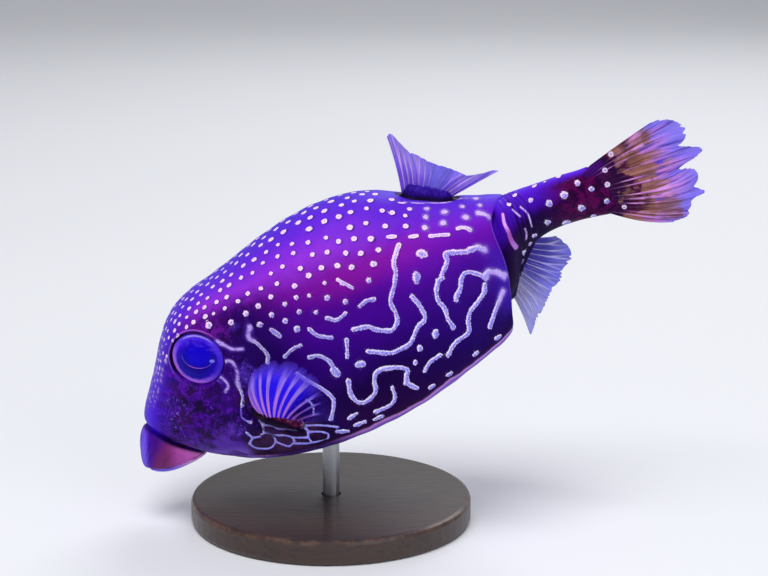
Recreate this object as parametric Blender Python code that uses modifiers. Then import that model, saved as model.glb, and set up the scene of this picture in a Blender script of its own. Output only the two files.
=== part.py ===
"""Reticulate boxfish, life size, swimming nose down on a small display stand.

Metres, +Z up.  The fish looks toward -X, with its left side toward -Y.  Its parts are drawn in
the fish's own axes (millimetres: s toward the tail, y to its right, h up) and hang on the empty
"swim_pose", which lifts the fish over the stand and tips its nose down.
"""
import math

import bmesh
import bpy
from mathutils import Matrix, Vector

# ---------------------------------------------------------------- driving dimensions
MM = 0.001
GAP = 0.3                       # play between neighbouring parts
DIVE = math.radians(30)         # nose-down angle of the fish
LIFT = 36.5                     # height of the fish's own origin over the ground

BASE_RADIUS, BASE_HEIGHT, BASE_BEVEL = 25.0, 4.5, 0.8
ROD_RADIUS, ROD_FOOT, ROD_TOP = 1.5, 1.8, 23.0

# The hard shell, nose to tail.  Each row is one slanted section:
# back (s, h), belly (s, h), upper ridge (half width, h), flank (half width, h),
# lower ridge (half width, h).  The upper ridge's third number draws it forward of the section.
SHELL = (
    ((-37.0, -0.8), (-31.2, -8.7), (3.0, -2.4), (4.3, -4.8), (3.2, -7.4)),
    ((-37.4, 1.4), (-29.6, -9.6), (4.2, -0.4), (6.2, -4.2), (5.0, -8.4)),
    ((-34.8, 4.5), (-27.4, -10.8), (5.6, 2.6), (8.1, -3.4), (7.2, -9.5)),
    ((-30.6, 8.6), (-24.6, -12.1), (7.8, 6.2), (9.9, -2.4), (9.6, -10.7)),
    ((-26.1, 13.5), (-21.5, -13.4), (9.6, 10.4), (11.4, -1.6), (11.8, -11.9)),
    ((-20.8, 16.5), (-17.4, -14.7), (11.2, 12.8), (12.9, -1.4), (14.0, -13.1)),
    ((-13.0, 17.3), (-11.5, -16.1), (12.6, 12.4), (14.3, -2.0), (16.0, -14.5)),
    ((-5.0, 18.7), (-4.5, -17.2), (13.5, 11.0), (15.0, -3.0), (17.1, -15.6)),
    ((3.5, 19.4), (3.0, -17.8), (13.5, 9.4), (15.0, -4.0), (17.4, -16.2)),
    ((11.5, 18.6), (10.0, -17.7), (12.6, 8.0), (14.6, -4.6), (17.0, -16.2)),
    ((18.2, 16.1), (16.4, -17.1), (11.2, 6.6), (13.8, -5.0), (16.0, -15.7)),
    ((23.6, 12.1), (21.4, -16.5), (9.6, 5.5), (12.7, -5.4), (14.8, -15.2)),
    ((29.6, 8.3), (25.2, -16.0), (7.9, 4.2, -0.8), (11.2, -5.8), (13.4, -14.9)),
    ((35.3, 5.4), (27.2, -15.4), (6.2, 2.8, -2.2), (9.6, -6.4), (12.4, -14.3)),
    ((37.2, 4.2), (27.6, -14.6), (5.2, 2.2, -2.8), (8.4, -6.6), (11.2, -13.7)),
    ((34.6, 2.8), (26.0, -13.0), (4.0, 1.2, -2.4), (6.8, -6.4), (8.8, -12.2)),
)
# Where the head ends: a slanted plane through these two points of the fish's middle plane.
GILL_CUT = ((-10.8, 17.0), (-22.2, -14.0))

# The fleshy mouth: rows of upper point (s, h), lower point (s, h) and half width.
MOUTH = (
    ((-35.6, -0.9), (-30.6, -7.9), 3.4),
    ((-38.2, -0.4), (-31.0, -9.9), 4.9),
    ((-40.0, -2.0), (-34.6, -10.1), 4.8),
    ((-41.6, -4.2), (-38.2, -9.5), 3.9),
    ((-42.0, -5.8), (-40.2, -8.2), 2.5),
)
MOUTH_SLIT = ((-41.2, -7.2), (-33.6, -5.4))

EYE_PLACE, EYE_RADIUS = (-20.6, 8.0, 7.5), 5.4

# The tail stalk, root to fin: centre (s, y, h), half height, half width.
STALK = (
    ((27.0, 0.0, -3.8), 7.4, 6.2),
    ((30.6, 0.0, -3.0), 7.4, 6.4),
    ((34.2, 0.0, -1.9), 6.1, 5.6),
    ((37.8, -0.5, -0.8), 4.6, 4.3),
    ((42.0, -1.4, -0.8), 4.3, 3.5),
    ((47.0, -3.0, -1.3), 4.5, 3.0),
    ((51.5, -4.6, -2.2), 4.9, 2.3),
    ((55.5, -6.1, -2.9), 5.6, 1.3),
)

FIN_THICKNESS = 0.8
# Each fin: its foot line and its free edge, front to back, as (s, h) in the fin's own plane.
DORSAL_FOOT = ((21.2, 11.4), (23.2, 10.4), (25.0, 9.3), (26.8, 8.2), (28.6, 7.0))
DORSAL_EDGE = ((25.6, 23.8), (26.9, 19.4), (28.9, 15.0), (32.4, 11.3), (38.4, 8.7))
ANAL_FOOT = ((36.6, -4.9), (35.2, -6.2), (33.6, -7.6), (32.0, -9.0), (30.2, -10.4))
ANAL_EDGE = ((42.2, -7.6), (43.3, -11.4), (37.6, -12.6), (32.6, -14.6), (28.5, -20.0))
TAIL_FOOT = ((53.6, 2.2), (54.4, 0.4), (54.8, -1.6), (54.8, -3.6), (54.4, -5.6), (53.4, -7.4))
TAIL_EDGE = ((62.0, 5.4), (69.4, 3.7), (71.8, -2.6), (68.8, -8.6), (63.6, -13.4), (57.6, -11.0))
TAIL_HINGE, TAIL_SWING = (54.0, -5.4), math.radians(-22)
# The side fins stand on a sloping root pad and flare away from the flank.
PECTORAL_FOOT = ((-16.3, -4.3), (-15.9, -5.9), (-15.2, -7.3), (-14.2, -8.6), (-13.0, -9.6),
                 (-11.6, -10.4))
PECTORAL_EDGE = ((-14.6, 0.8), (-11.6, 3.6), (-6.9, 3.4), (-3.4, -0.4), (-2.8, -6.0),
                 (-5.0, -12.2))
PECTORAL_HINGE, PECTORAL_FLARE = (-14.0, 15.4, -7.3), math.radians(24)

COLOURS = {
    "back_skin": ((0.17, 0.03, 0.62), 0.35, 0.0),
    "flank_skin": ((0.12, 0.02, 0.45), 0.35, 0.0),
    "lip_flesh": ((0.36, 0.07, 0.33), 0.40, 0.0),
    "eye_blue": ((0.02, 0.01, 0.55), 0.08, 0.0),
    "fin_flesh": ((0.05, 0.01, 0.16), 0.45, 0.0),
    "fin_membrane": ((0.30, 0.16, 0.68), 0.40, 0.0),
    "tail_membrane": ((0.40, 0.16, 0.42), 0.40, 0.0),
    "stand_wood": ((0.035, 0.028, 0.025), 0.45, 0.0),
    "stand_steel": ((0.60, 0.60, 0.62), 0.28, 1.0),
}


# ---------------------------------------------------------------- helpers
def clear_scene():
    for obj in list(bpy.data.objects):
        bpy.data.objects.remove(obj, do_unlink=True)


def make_material(name):
    colour, roughness, metallic = COLOURS[name]
    mat = bpy.data.materials.new(name)
    mat.use_nodes = True
    shader = mat.node_tree.nodes["Principled BSDF"]
    shader.inputs["Base Color"].default_value = (*colour, 1.0)
    shader.inputs["Roughness"].default_value = roughness
    shader.inputs["Metallic"].default_value = metallic
    mat.diffuse_color = (*colour, 1.0)
    return mat


def new_collection(name):
    coll = bpy.data.collections.new(name)
    bpy.context.scene.collection.children.link(coll)
    return coll


def put(mesh_or_obj, name, coll, parent=None, material=None):
    """Name an object (or wrap a mesh in one), and move it to its collection and parent."""
    obj = mesh_or_obj
    if isinstance(obj, bpy.types.Mesh):
        obj = bpy.data.objects.new(name, obj)
    for old in list(obj.users_collection):
        old.objects.unlink(obj)
    coll.objects.link(obj)
    obj.name = obj.data.name = name
    obj.parent = parent
    obj.data.shade_smooth()
    if material:
        obj.data.materials.clear()
        obj.data.materials.append(material)
    return obj


def subdivide(obj, levels):
    smooth = obj.modifiers.new("smooth", 'SUBSURF')
    smooth.levels = smooth.render_levels = levels


def new_mesh(name, points, faces):
    mesh = bpy.data.meshes.new(name)
    mesh.from_pydata(points, [], faces)
    return mesh


def face_out(mesh):
    """Turn every face of a closed mesh to look outward."""
    work = bmesh.new()
    work.from_mesh(mesh)
    bmesh.ops.recalc_face_normals(work, faces=work.faces)
    work.to_mesh(mesh)
    work.free()
    return mesh


def ring_mesh(name, rings):
    """A closed tube through rings of equal point counts, capped at both ends."""
    count = len(rings[0])
    points = [Vector(p) * MM for ring in rings for p in ring]
    faces = [tuple(reversed(range(count)))]
    for i in range(len(rings) - 1):
        a, b = i * count, (i + 1) * count
        for j in range(count):
            k = (j + 1) % count
            faces.append((a + j, a + k, b + k, b + j))
    last = (len(rings) - 1) * count
    faces.append(tuple(range(last, last + count)))
    return face_out(new_mesh(name, points, faces))


def sharpen(rings):
    """Push a cage out so that its smoothed skin passes close to the rings it was drawn with."""
    def smooth(get, i, n, closed):
        before = get((i - 1) % n) if closed or i > 0 else get(i)
        after = get((i + 1) % n) if closed or i < n - 1 else get(i)
        return (before + 4 * get(i) + after) / 6
    rings = [[Vector(p) for p in ring] for ring in rings]
    rows, count = len(rings), len(rings[0])
    round_ring = [[smooth(lambda j: ring[j], j, count, True) for j in range(count)] for ring in rings]
    both = [[smooth(lambda i: round_ring[i][j], i, rows, False) for j in range(count)]
            for i in range(rows)]
    return [[2 * rings[i][j] - both[i][j] for j in range(count)] for i in range(rows)]


def plate(name, foot, edge, rows=3):
    """A flat fin sheet in the s-h plane: a grid of quads from its foot line to its free edge."""
    points, faces = [], []
    for i in range(rows + 1):
        for a, b in zip(foot, edge):
            s, h = (a[k] + (b[k] - a[k]) * i / rows for k in (0, 1))
            points.append(Vector((s, 0.0, h)) * MM)
    across = len(foot)
    for i in range(rows):
        for j in range(across - 1):
            k = i * across + j
            faces.append((k, k + 1, k + across + 1, k + across))
    return new_mesh(name, points, faces)


def swing(mesh, hinge, axis, angle):
    """Turn a mesh about a line through a point of the fish's axes."""
    centre = Vector(hinge) * MM
    mesh.transform(Matrix.Translation(centre) @ Matrix.Rotation(angle, 4, axis)
                   @ Matrix.Translation(-centre))


def thicken(obj, thickness):
    solid = obj.modifiers.new("thickness", 'SOLIDIFY')
    solid.thickness, solid.offset = thickness * MM, 0.0
    solid.use_even_offset = True


def ellipsoid(name, centre, radii, turn, segments=20, rings=12):
    """A squashed sphere at a point of the fish's axes; turn is its pitch about the y axis."""
    bpy.ops.mesh.primitive_uv_sphere_add(segments=segments, ring_count=rings, radius=MM)
    obj = bpy.context.object
    obj.data.transform(Matrix.Translation(Vector(centre) * MM) @ Matrix.Rotation(turn, 4, 'Y')
                       @ Matrix.Diagonal((*radii, 1.0)))
    obj.name = name
    return obj


def boolean(obj, tool, operation='DIFFERENCE'):
    cut = obj.modifiers.new(tool.name, 'BOOLEAN')
    cut.operation, cut.solver, cut.object = operation, 'EXACT', tool


def seat(part, holder, tools, gap=GAP):
    """Cut into the holder the pocket that a part sits in, a little larger than the part."""
    tool = part.copy()
    tool.name = "pocket_" + part.name + "_in_" + holder.name
    for old in list(tool.users_collection):
        old.objects.unlink(tool)
    tools.objects.link(tool)
    for modifier in [m for m in tool.modifiers if m.type == 'BOOLEAN']:
        tool.modifiers.remove(modifier)
    grow = tool.modifiers.new("play", 'DISPLACE')
    grow.strength, grow.mid_level = gap * MM, 0.0
    hide_tool(tool)
    boolean(holder, tool)


def hide_tool(tool):
    tool.hide_render = True
    tool.display_type = 'WIRE'


def half_space(name, line, side, tools, pose):
    """A big block on one side of a plane that crosses the fish through two (s, h) points."""
    (s0, h0), (s1, h1) = line
    along = Vector((s1 - s0, 0.0, h1 - h0)).normalized()
    out = Vector((along.z, 0.0, -along.x)) * side
    size = 120.0
    bpy.ops.mesh.primitive_cube_add(size=size * MM)
    block = put(bpy.context.object, name, tools, pose)
    middle = Vector(((s0 + s1) / 2, 0.0, (h0 + h1) / 2)) + out * (size / 2 - GAP / 2)
    turn = Matrix((along, Vector((0, -side, 0)), out)).transposed().to_4x4()
    block.data.transform(Matrix.Translation(middle * MM) @ turn)
    hide_tool(block)
    return block


# ---------------------------------------------------------------- the shell
def shell_ring(back, belly, upper, flank, lower):
    """One slanted section of the shell, as a closed ring of points round the fish."""
    def at(width, h, shift=0.0):
        share = (h - belly[1]) / (back[1] - belly[1])
        return (belly[0] + (back[0] - belly[0]) * share + shift, width, h)
    shift = upper[2] if len(upper) > 2 else 0.0
    crown = back[1] - 0.22 * (back[1] - upper[1])
    waist = ((upper[0] + flank[0]) / 2, (upper[1] + flank[1]) / 2)
    half = [at(0.0, back[1]), at(0.55 * upper[0], crown, shift / 2), at(*upper),
            at(*waist, shift / 2), at(*flank), at(*lower),
            at(0.7 * lower[0], belly[1] + 0.35 * (lower[1] - belly[1])), at(0.0, belly[1])]
    mirrored = [(s, -y, h) for s, y, h in reversed(half[1:-1])]
    return half + mirrored


def make_shell(coll, tools, pose, mats):
    """Head and trunk: one smooth shell parted by a thin slanted cut behind the gills."""
    rings = sharpen([shell_ring(*row) for row in SHELL])
    parts = []
    for name, side, material in (("head", -1, "back_skin"), ("trunk", 1, "flank_skin")):
        part = put(ring_mesh(name, rings), name, coll, pose, mats[material])
        subdivide(part, 2)
        boolean(part, half_space(name + "_limit", GILL_CUT, side, tools, pose))
        parts.append(part)
    return parts


# ---------------------------------------------------------------- mouth, eyes
def mouth_ring(upper, lower, half_width, points=12):
    """An oval ring across the mouth, between its upper and its lower point."""
    ring = []
    for i in range(points):
        turn = 2 * math.pi * i / points
        up = (1 + math.cos(turn)) / 2
        ring.append((lower[0] + (upper[0] - lower[0]) * up, half_width * math.sin(turn),
                     lower[1] + (upper[1] - lower[1]) * up))
    return ring


def make_lips(coll, tools, pose, mats, head):
    rings = sharpen([mouth_ring(*row) for row in MOUTH])
    whole = put(ring_mesh("mouth", rings), "mouth_whole", tools, pose)
    subdivide(whole, 1)
    hide_tool(whole)
    seat(whole, head, tools)
    for name, side in (("upper_lip", 1), ("lower_lip", -1)):
        lip = put(whole.data.copy(), name, coll, pose, mats["lip_flesh"])
        subdivide(lip, 1)
        boolean(lip, half_space(name + "_limit", MOUTH_SLIT, -side, tools, pose))


def make_eyes(coll, tools, pose, mats, head):
    for name, side in (("eye_left", -1), ("eye_right", 1)):
        s, y, h = EYE_PLACE
        ball = ellipsoid(name, (s, side * y, h), (EYE_RADIUS,) * 3, 0.0, 18, 10)
        put(ball, name, coll, pose, mats["eye_blue"])
        seat(ball, head, tools)


# ---------------------------------------------------------------- tail stalk and fins
def stalk_ring(centre, half_height, half_width, points=12):
    return [(centre[0], centre[1] + half_width * math.sin(2 * math.pi * i / points),
             centre[2] + half_height * math.cos(2 * math.pi * i / points)) for i in range(points)]


def make_stalk(coll, tools, pose, mats, trunk):
    rings = sharpen([stalk_ring(*row) for row in STALK])
    stalk = put(ring_mesh("tail_stalk", rings), "tail_stalk", coll, pose, mats["flank_skin"])
    subdivide(stalk, 1)
    seat(stalk, trunk, tools, 2 * GAP)
    return stalk


def make_fin(name, mesh, coll, pose, material):
    fin = put(mesh, name, coll, pose, material)
    thicken(fin, FIN_THICKNESS)
    return fin


def foot_pad(name, foot, sink, radii, y=0.0):
    """A fleshy pad along a fin's foot line, sunk a little below it."""
    (s0, h0), (s1, h1) = foot[0], foot[-1]
    pitch = math.atan2(h0 - h1, s1 - s0)
    centre = ((s0 + s1) / 2 - sink * math.sin(pitch), y, (h0 + h1) / 2 - sink * math.cos(pitch))
    return ellipsoid(name, centre, radii, pitch, 12, 8)


def make_dorsal(coll, tools, pose, mats, trunk):
    pad = foot_pad("dorsal_base", DORSAL_FOOT, 0.6, (5.0, 1.9, 2.6))
    put(pad, "dorsal_base", coll, pose, mats["fin_flesh"])
    fin = make_fin("dorsal_fin", plate("dorsal_fin", DORSAL_FOOT, DORSAL_EDGE), coll, pose,
                   mats["fin_membrane"])
    seat(pad, trunk, tools)
    seat(fin, pad, tools)
    seat(fin, trunk, tools)


def make_anal(coll, tools, pose, mats, trunk, stalk):
    pad = foot_pad("anal_base", ANAL_FOOT, -0.2, (4.8, 1.5, 2.2))
    put(pad, "anal_base", coll, pose, mats["fin_flesh"])
    fin = make_fin("anal_fin", plate("anal_fin", ANAL_FOOT, ANAL_EDGE), coll, pose,
                   mats["fin_membrane"])
    seat(pad, stalk, tools)
    seat(pad, trunk, tools)
    seat(fin, pad, tools)
    seat(fin, stalk, tools)
    seat(fin, trunk, tools)


def make_tail_fin(coll, tools, pose, mats, stalk):
    mesh = plate("caudal_fin", TAIL_FOOT, TAIL_EDGE)
    mesh.transform(Matrix.Translation((0.0, TAIL_HINGE[1] * MM, 0.0)))
    swing(mesh, (TAIL_HINGE[0], TAIL_HINGE[1], 0.0), 'Z', TAIL_SWING)
    fin = make_fin("caudal_fin", mesh, coll, pose, mats["tail_membrane"])
    seat(fin, stalk, tools)


def make_pectorals(coll, tools, pose, mats, trunk):
    for word, side in (("left", -1), ("right", 1)):
        s, y, h = PECTORAL_HINGE
        pad = foot_pad("pectoral_base", PECTORAL_FOOT, 0.0, (4.4, 1.6, 1.6), side * (y - 0.4))
        put(pad, "pectoral_base_" + word, coll, pose, mats["fin_flesh"])
        mesh = plate("pectoral_fin", PECTORAL_FOOT, PECTORAL_EDGE)
        mesh.transform(Matrix.Translation((0.0, side * y * MM, 0.0)))
        (s0, h0), (s1, h1) = PECTORAL_FOOT[0], PECTORAL_FOOT[-1]
        axis = Vector((s1 - s0, 0.0, h1 - h0))
        swing(mesh, (s, side * y, h), axis, -side * PECTORAL_FLARE)
        fin = make_fin("pectoral_fin_" + word, mesh, coll, pose, mats["fin_membrane"])
        seat(pad, trunk, tools)
        seat(fin, trunk, tools)
        seat(fin, pad, tools)


# ---------------------------------------------------------------- stand
def round_bar(name, radius, low, high, bevel, sides, coll, material):
    """An upright round bar or disc on the Z axis, with softened rims."""
    bpy.ops.mesh.primitive_cylinder_add(vertices=sides, radius=radius * MM,
                                        depth=(high - low) * MM,
                                        location=(0, 0, (high + low) / 2 * MM))
    obj = put(bpy.context.object, name, coll, None, material)
    rim = obj.modifiers.new("rim", 'BEVEL')
    rim.width, rim.segments, rim.limit_method = bevel * MM, 2, 'ANGLE'
    return obj


def make_stand(coll, tools, mats, trunk):
    base = round_bar("stand_base", BASE_RADIUS, 0.0, BASE_HEIGHT, BASE_BEVEL, 64, coll,
                     mats["stand_wood"])
    rod = round_bar("stand_rod", ROD_RADIUS, ROD_FOOT, ROD_TOP, 0.2, 20, coll,
                    mats["stand_steel"])
    for holder, low, high in ((base, ROD_FOOT - GAP, BASE_HEIGHT + 5), (trunk, 5, ROD_TOP + GAP)):
        hole = round_bar("rod_hole_in_" + holder.name, ROD_RADIUS + GAP, low, high, 0.1, 20,
                         tools, None)
        hide_tool(hole)
        boolean(holder, hole)


# ---------------------------------------------------------------- whole
def main():
    clear_scene()
    coll = new_collection("boxfish")
    tools = new_collection("cutters")
    mats = {name: make_material(name) for name in COLOURS}
    pose = bpy.data.objects.new("swim_pose", None)
    coll.objects.link(pose)
    pose.location = (0.0, 0.0, LIFT * MM)
    pose.rotation_euler = (0.0, -DIVE, 0.0)

    head, trunk = make_shell(coll, tools, pose, mats)
    make_lips(coll, tools, pose, mats, head)
    make_eyes(coll, tools, pose, mats, head)
    stalk = make_stalk(coll, tools, pose, mats, trunk)
    make_dorsal(coll, tools, pose, mats, trunk)
    make_anal(coll, tools, pose, mats, trunk, stalk)
    make_tail_fin(coll, tools, pose, mats, stalk)
    make_pectorals(coll, tools, pose, mats, trunk)
    make_stand(coll, tools, mats, trunk)


main()
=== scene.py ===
"""Looks of a life-size reticulate boxfish on its display stand.

The fish is drawn in its own axes, in millimetres: s toward the tail, y to its right, h up.
swim() lays those axes out in the row's frame, nose down over the stand.

Two more numbers go with every point of the skin.  row is its place along the control rings: 0 to 5
on the mouth, 6 to 23 on the shell and 24 to 34 on the stalk.  girth is its place round the body: 1
on the back, 0 on the upper ridge, -1 on the lower ridge and -2 under the belly.
"""
import math

import bpy
import numpy as np
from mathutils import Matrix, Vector
from mathutils.kdtree import KDTree


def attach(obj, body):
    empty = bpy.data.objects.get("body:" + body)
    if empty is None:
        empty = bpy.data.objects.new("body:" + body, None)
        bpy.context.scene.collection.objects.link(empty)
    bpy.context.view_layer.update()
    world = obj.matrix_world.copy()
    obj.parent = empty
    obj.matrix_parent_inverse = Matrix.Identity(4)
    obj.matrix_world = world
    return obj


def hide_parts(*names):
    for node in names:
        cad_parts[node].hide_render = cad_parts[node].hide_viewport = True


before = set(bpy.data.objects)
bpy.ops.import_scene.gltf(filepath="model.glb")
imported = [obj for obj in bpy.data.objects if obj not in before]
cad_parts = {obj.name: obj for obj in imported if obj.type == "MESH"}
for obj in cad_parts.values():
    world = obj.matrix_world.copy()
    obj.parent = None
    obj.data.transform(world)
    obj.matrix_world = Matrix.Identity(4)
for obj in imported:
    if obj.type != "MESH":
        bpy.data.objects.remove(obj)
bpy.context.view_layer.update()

# ---------------------------------------------------------------- driving dimensions
MM = 0.001
DIVE = math.radians(30)         # nose-down angle
LIFT = 36.5                     # height of the fish's own origin over the ground
RANDOM = np.random.default_rng(7)
RING = 14                       # control points round the body, from the back
FAR = 9.0                       # stands for a distance or offset that is out of reach
SIDES = ((-1, "left"), (1, "right"))

# The fleshy mouth, tip to snout: upper point (s, h), lower point (s, h) and half width.
MOUTH = (
    ((-41.9, -6.5), (-41.3, -7.4), 0.5),
    ((-42.1, -5.9), (-40.6, -8.2), 2.3),
    ((-41.5, -4.2), (-38.4, -9.5), 3.9),
    ((-40.2, -1.7), (-34.8, -10.1), 4.8),
    ((-38.9, -0.3), (-31.6, -10.1), 5),
    ((-38, 0), (-31, -9.5), 4.4),
)
# The hard shell, nose to tail: back (s, h), belly (s, h), upper ridge (half width, h), flank
# (half width, h), lower ridge (half width, h).  A third number draws the ridge forward.
SHELL = (
    ((-37.2, -0.2), (-30.6, -9.1), (2.9, -1.9), (4.2, -4.8), (3.2, -7.6)),
    ((-37.5, 1.4), (-29.6, -9.7), (4.2, -0.4), (6.2, -4.2), (5, -8.5)),
    ((-34.8, 4.5), (-27.4, -10.8), (5.6, 2.6), (8.1, -3.4), (7.2, -9.5)),
    ((-30.6, 8.6), (-24.6, -12.1), (7.8, 6.2), (9.9, -2.4), (9.6, -10.7)),
    ((-26.1, 13.5), (-21.5, -13.4), (9.6, 10.4), (11.4, -1.6), (11.8, -11.9)),
    ((-20.8, 16.5), (-17.4, -14.7), (11.2, 12.8), (12.9, -1.4), (14, -13.1)),
    ((-13, 17.3), (-11.5, -16.1), (12.6, 12.4), (14.3, -2), (16, -14.5)),
    ((-5, 18.7), (-4.5, -17.2), (13.5, 11), (15, -3), (17.1, -15.6)),
    ((3.5, 19.4), (3, -17.8), (13.5, 9.4), (15, -4), (17.4, -16.2)),
    ((11.5, 18.6), (10, -17.7), (12.6, 8), (14.6, -4.6), (17, -16.2)),
    ((18.2, 16.1), (16.4, -17.1), (11.2, 6.6), (13.8, -5), (16, -15.7)),
    ((23.6, 12.1), (21.4, -16.5), (9.6, 5.5), (12.7, -5.4), (14.8, -15.2)),
    ((29.6, 8.3), (25.2, -16), (7.9, 4.2, -0.8), (11.2, -5.8), (13.4, -14.9)),
    ((34.8, 5.7), (26.9, -15.5), (6.4, 3, -2), (9.8, -6.4), (12.5, -14.4)),
    ((36.8, 4.7), (27.6, -15), (5.6, 2.5, -2.6), (9, -6.6), (11.8, -14)),
    ((37.2, 4.2), (27.7, -14.5), (5.1, 2.1, -2.9), (8.4, -6.6), (11.2, -13.6)),
    ((36.4, 3.7), (27.1, -13.9), (4.7, 1.8, -2.9), (7.8, -6.6), (10.4, -13)),
    ((34.4, 3.3), (25.8, -13.2), (4.4, 1.5, -2.6), (7, -6.4), (9.4, -12.3)),
)
# The soft tail stalk, root to fin: upper (s, h), lower (s, h), half width, sideways shift y.
STALK = (
    ((33.8, 3.3), (27.4, -12.2), 6.4, 0),
    ((35.2, 3.9), (29.8, -11), 6.1, 0),
    ((36.9, 4.3), (32.6, -9), 5.6, -0.1),
    ((38.7, 4.1), (35.6, -6.6), 4.8, -0.4),
    ((40.8, 3.8), (38.8, -5.3), 4, -0.9),
    ((43.6, 3.4), (42.8, -5.1), 3.4, -1.8),
    ((47.2, 3), (46.8, -5.7), 2.8, -2.9),
    ((50.4, 2.4), (50.2, -6.5), 1.9, -4),
    ((52.2, 2.3), (51.8, -6.9), 1.3, -4.7),
    ((53.6, 1.8), (53.2, -6.7), 0.7, -5.25),
    ((54.5, 0.7), (54.1, -5.4), 0.15, -5.6),
)
OVAL_TURNS = (0, 25, 50, 75, 100, 140, 160, 180)    # degrees from the back, one per ring point
COLUMNS = (16, 20, 20, 20, 28, 13, 8)               # skin columns between those points
ROWS = 382


# ---------------------------------------------------------------- axes and curves
def swim(points):
    """Points of the fish's axes, in millimetres, as points of the row's frame in metres."""
    s, y, h = np.moveaxis(np.asarray(points, float), -1, 0)
    x = s * math.cos(DIVE) - h * math.sin(DIVE)
    z = s * math.sin(DIVE) + h * math.cos(DIVE) + LIFT
    return np.stack([x, y, z], -1) * MM


def rise(value, low, high):
    """0 below low, 1 above high, and smooth between."""
    t = np.clip((value - low) / (high - low), 0, 1)
    return t * t * (3 - 2 * t)


def hump(value, centre, width):
    return np.exp(-((value - centre) / width) ** 2)


def smooth_line(points, count):
    """An even run of points on a smooth curve through a few given ones."""
    p = np.asarray(points, float)
    if len(p) == 2:
        p = np.array([p[0], p.mean(0), p[1]])
    ends = np.vstack([2 * p[0] - p[1], p, 2 * p[-1] - p[-2]])
    t = np.linspace(0, len(p) - 1, 24 * len(p))
    i = np.minimum(t.astype(int), len(p) - 2)
    f = (t - i)[:, None]
    a, b, c, d = (ends[i + k] for k in range(4))
    curve = 0.5 * (2 * b + (c - a) * f + (2 * a - 5 * b + 4 * c - d) * f ** 2
                   + (3 * b - a - 3 * c + d) * f ** 3)
    run = np.concatenate([[0], np.cumsum(np.linalg.norm(np.diff(curve, axis=0), axis=1))])
    even = np.linspace(0, run[-1], count)
    return np.stack([np.interp(even, run, curve[:, k]) for k in range(curve.shape[1])], -1)


def search_tree(points):
    tree = KDTree(len(points))
    for i, point in enumerate(points):
        tree.insert(point, i)
    tree.balance()
    return tree


def spline_weights(places, count, closed):
    """Rows of cubic spline weights, one row for each place among count control points."""
    start = np.floor(places).astype(int)
    f = places - start
    shares = ((1 - f) ** 3 / 6, (3 * f ** 3 - 6 * f ** 2 + 4) / 6,
              (-3 * f ** 3 + 3 * f ** 2 + 3 * f + 1) / 6, f ** 3 / 6)
    weights = np.zeros((len(places), count))
    for k, share in enumerate(shares):
        index = start + k - 1
        index = index % count if closed else np.clip(index, 0, count - 1)
        np.add.at(weights, (np.arange(len(places)), index), share)
    return weights


# ---------------------------------------------------------------- the skin's shape
def full_ring(half):
    return half + [(s, -y, h) for s, y, h in reversed(half[1:-1])]


def shell_ring(back, belly, upper, flank, lower):
    def at(width, h, shift=0):
        share = (h - belly[1]) / (back[1] - belly[1])
        return (belly[0] + (back[0] - belly[0]) * share + shift, width, h)
    shift = upper[2] if len(upper) > 2 else 0
    crown = back[1] - 0.22 * (back[1] - upper[1])
    waist = ((upper[0] + flank[0]) / 2, (upper[1] + flank[1]) / 2)
    return full_ring([
        at(0, back[1]), at(0.55 * upper[0], crown, shift / 2), at(*upper),
        at(*waist, shift / 2), at(*flank), at(*lower),
        at(0.7 * lower[0], belly[1] + 0.35 * (lower[1] - belly[1])), at(0, belly[1])])


def oval_ring(upper, lower, half_width, shift=0):
    half = []
    for turn in OVAL_TURNS:
        up = (1 + math.cos(math.radians(turn))) / 2
        half.append((lower[0] + (upper[0] - lower[0]) * up,
                     half_width * math.sin(math.radians(turn)),
                     lower[1] + (upper[1] - lower[1]) * up))
    return [(s, y + shift, h) for s, y, h in full_ring(half)]


def skin_cage():
    """Control rings from the mouth's tip to the stalk's end, pushed out against smoothing."""
    rings = [oval_ring(*row) for row in MOUTH] + [shell_ring(*row) for row in SHELL]
    rings = np.array(rings + [oval_ring(*row) for row in STALK], float)
    round_ring = (np.roll(rings, 1, 1) + 4 * rings + np.roll(rings, -1, 1)) / 6
    padded = np.concatenate([round_ring[:1], round_ring, round_ring[-1:]])
    smooth = (padded[:-2] + 4 * padded[1:-1] + padded[2:]) / 6
    return 2 * rings - smooth


def even_rows(cage):
    """Places along the cage that space the skin's rows evenly, closer together on the head."""
    steps = np.linalg.norm(np.diff(cage, axis=0), axis=2).mean(1)
    head = len(MOUTH) + 5
    steps[:head] *= 1.35
    run = np.concatenate([[0], np.cumsum(steps)])
    return np.interp(np.linspace(0, run[-1], ROWS), run, np.arange(len(run)))


def even_columns():
    """Places round a ring, from the belly's middle up the left side, over, and down the right."""
    half = np.concatenate([i + np.arange(n) / n for i, n in enumerate(COLUMNS)] + [[RING / 2]])
    return np.concatenate([RING - half[:0:-1], RING + half[:-1]])


def grid_normals(p):
    along = np.gradient(p, axis=0)
    wrapped = np.concatenate([p[:, -1:], p, p[:, :1]], 1)
    across = (wrapped[:, 2:] - wrapped[:, :-2]) / 2
    n = np.cross(along, across)
    n /= np.maximum(np.linalg.norm(n, axis=2, keepdims=True), 1e-9)
    middle = p.mean(1, keepdims=True)
    return n * np.sign(((p - middle) * n).sum())


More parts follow.
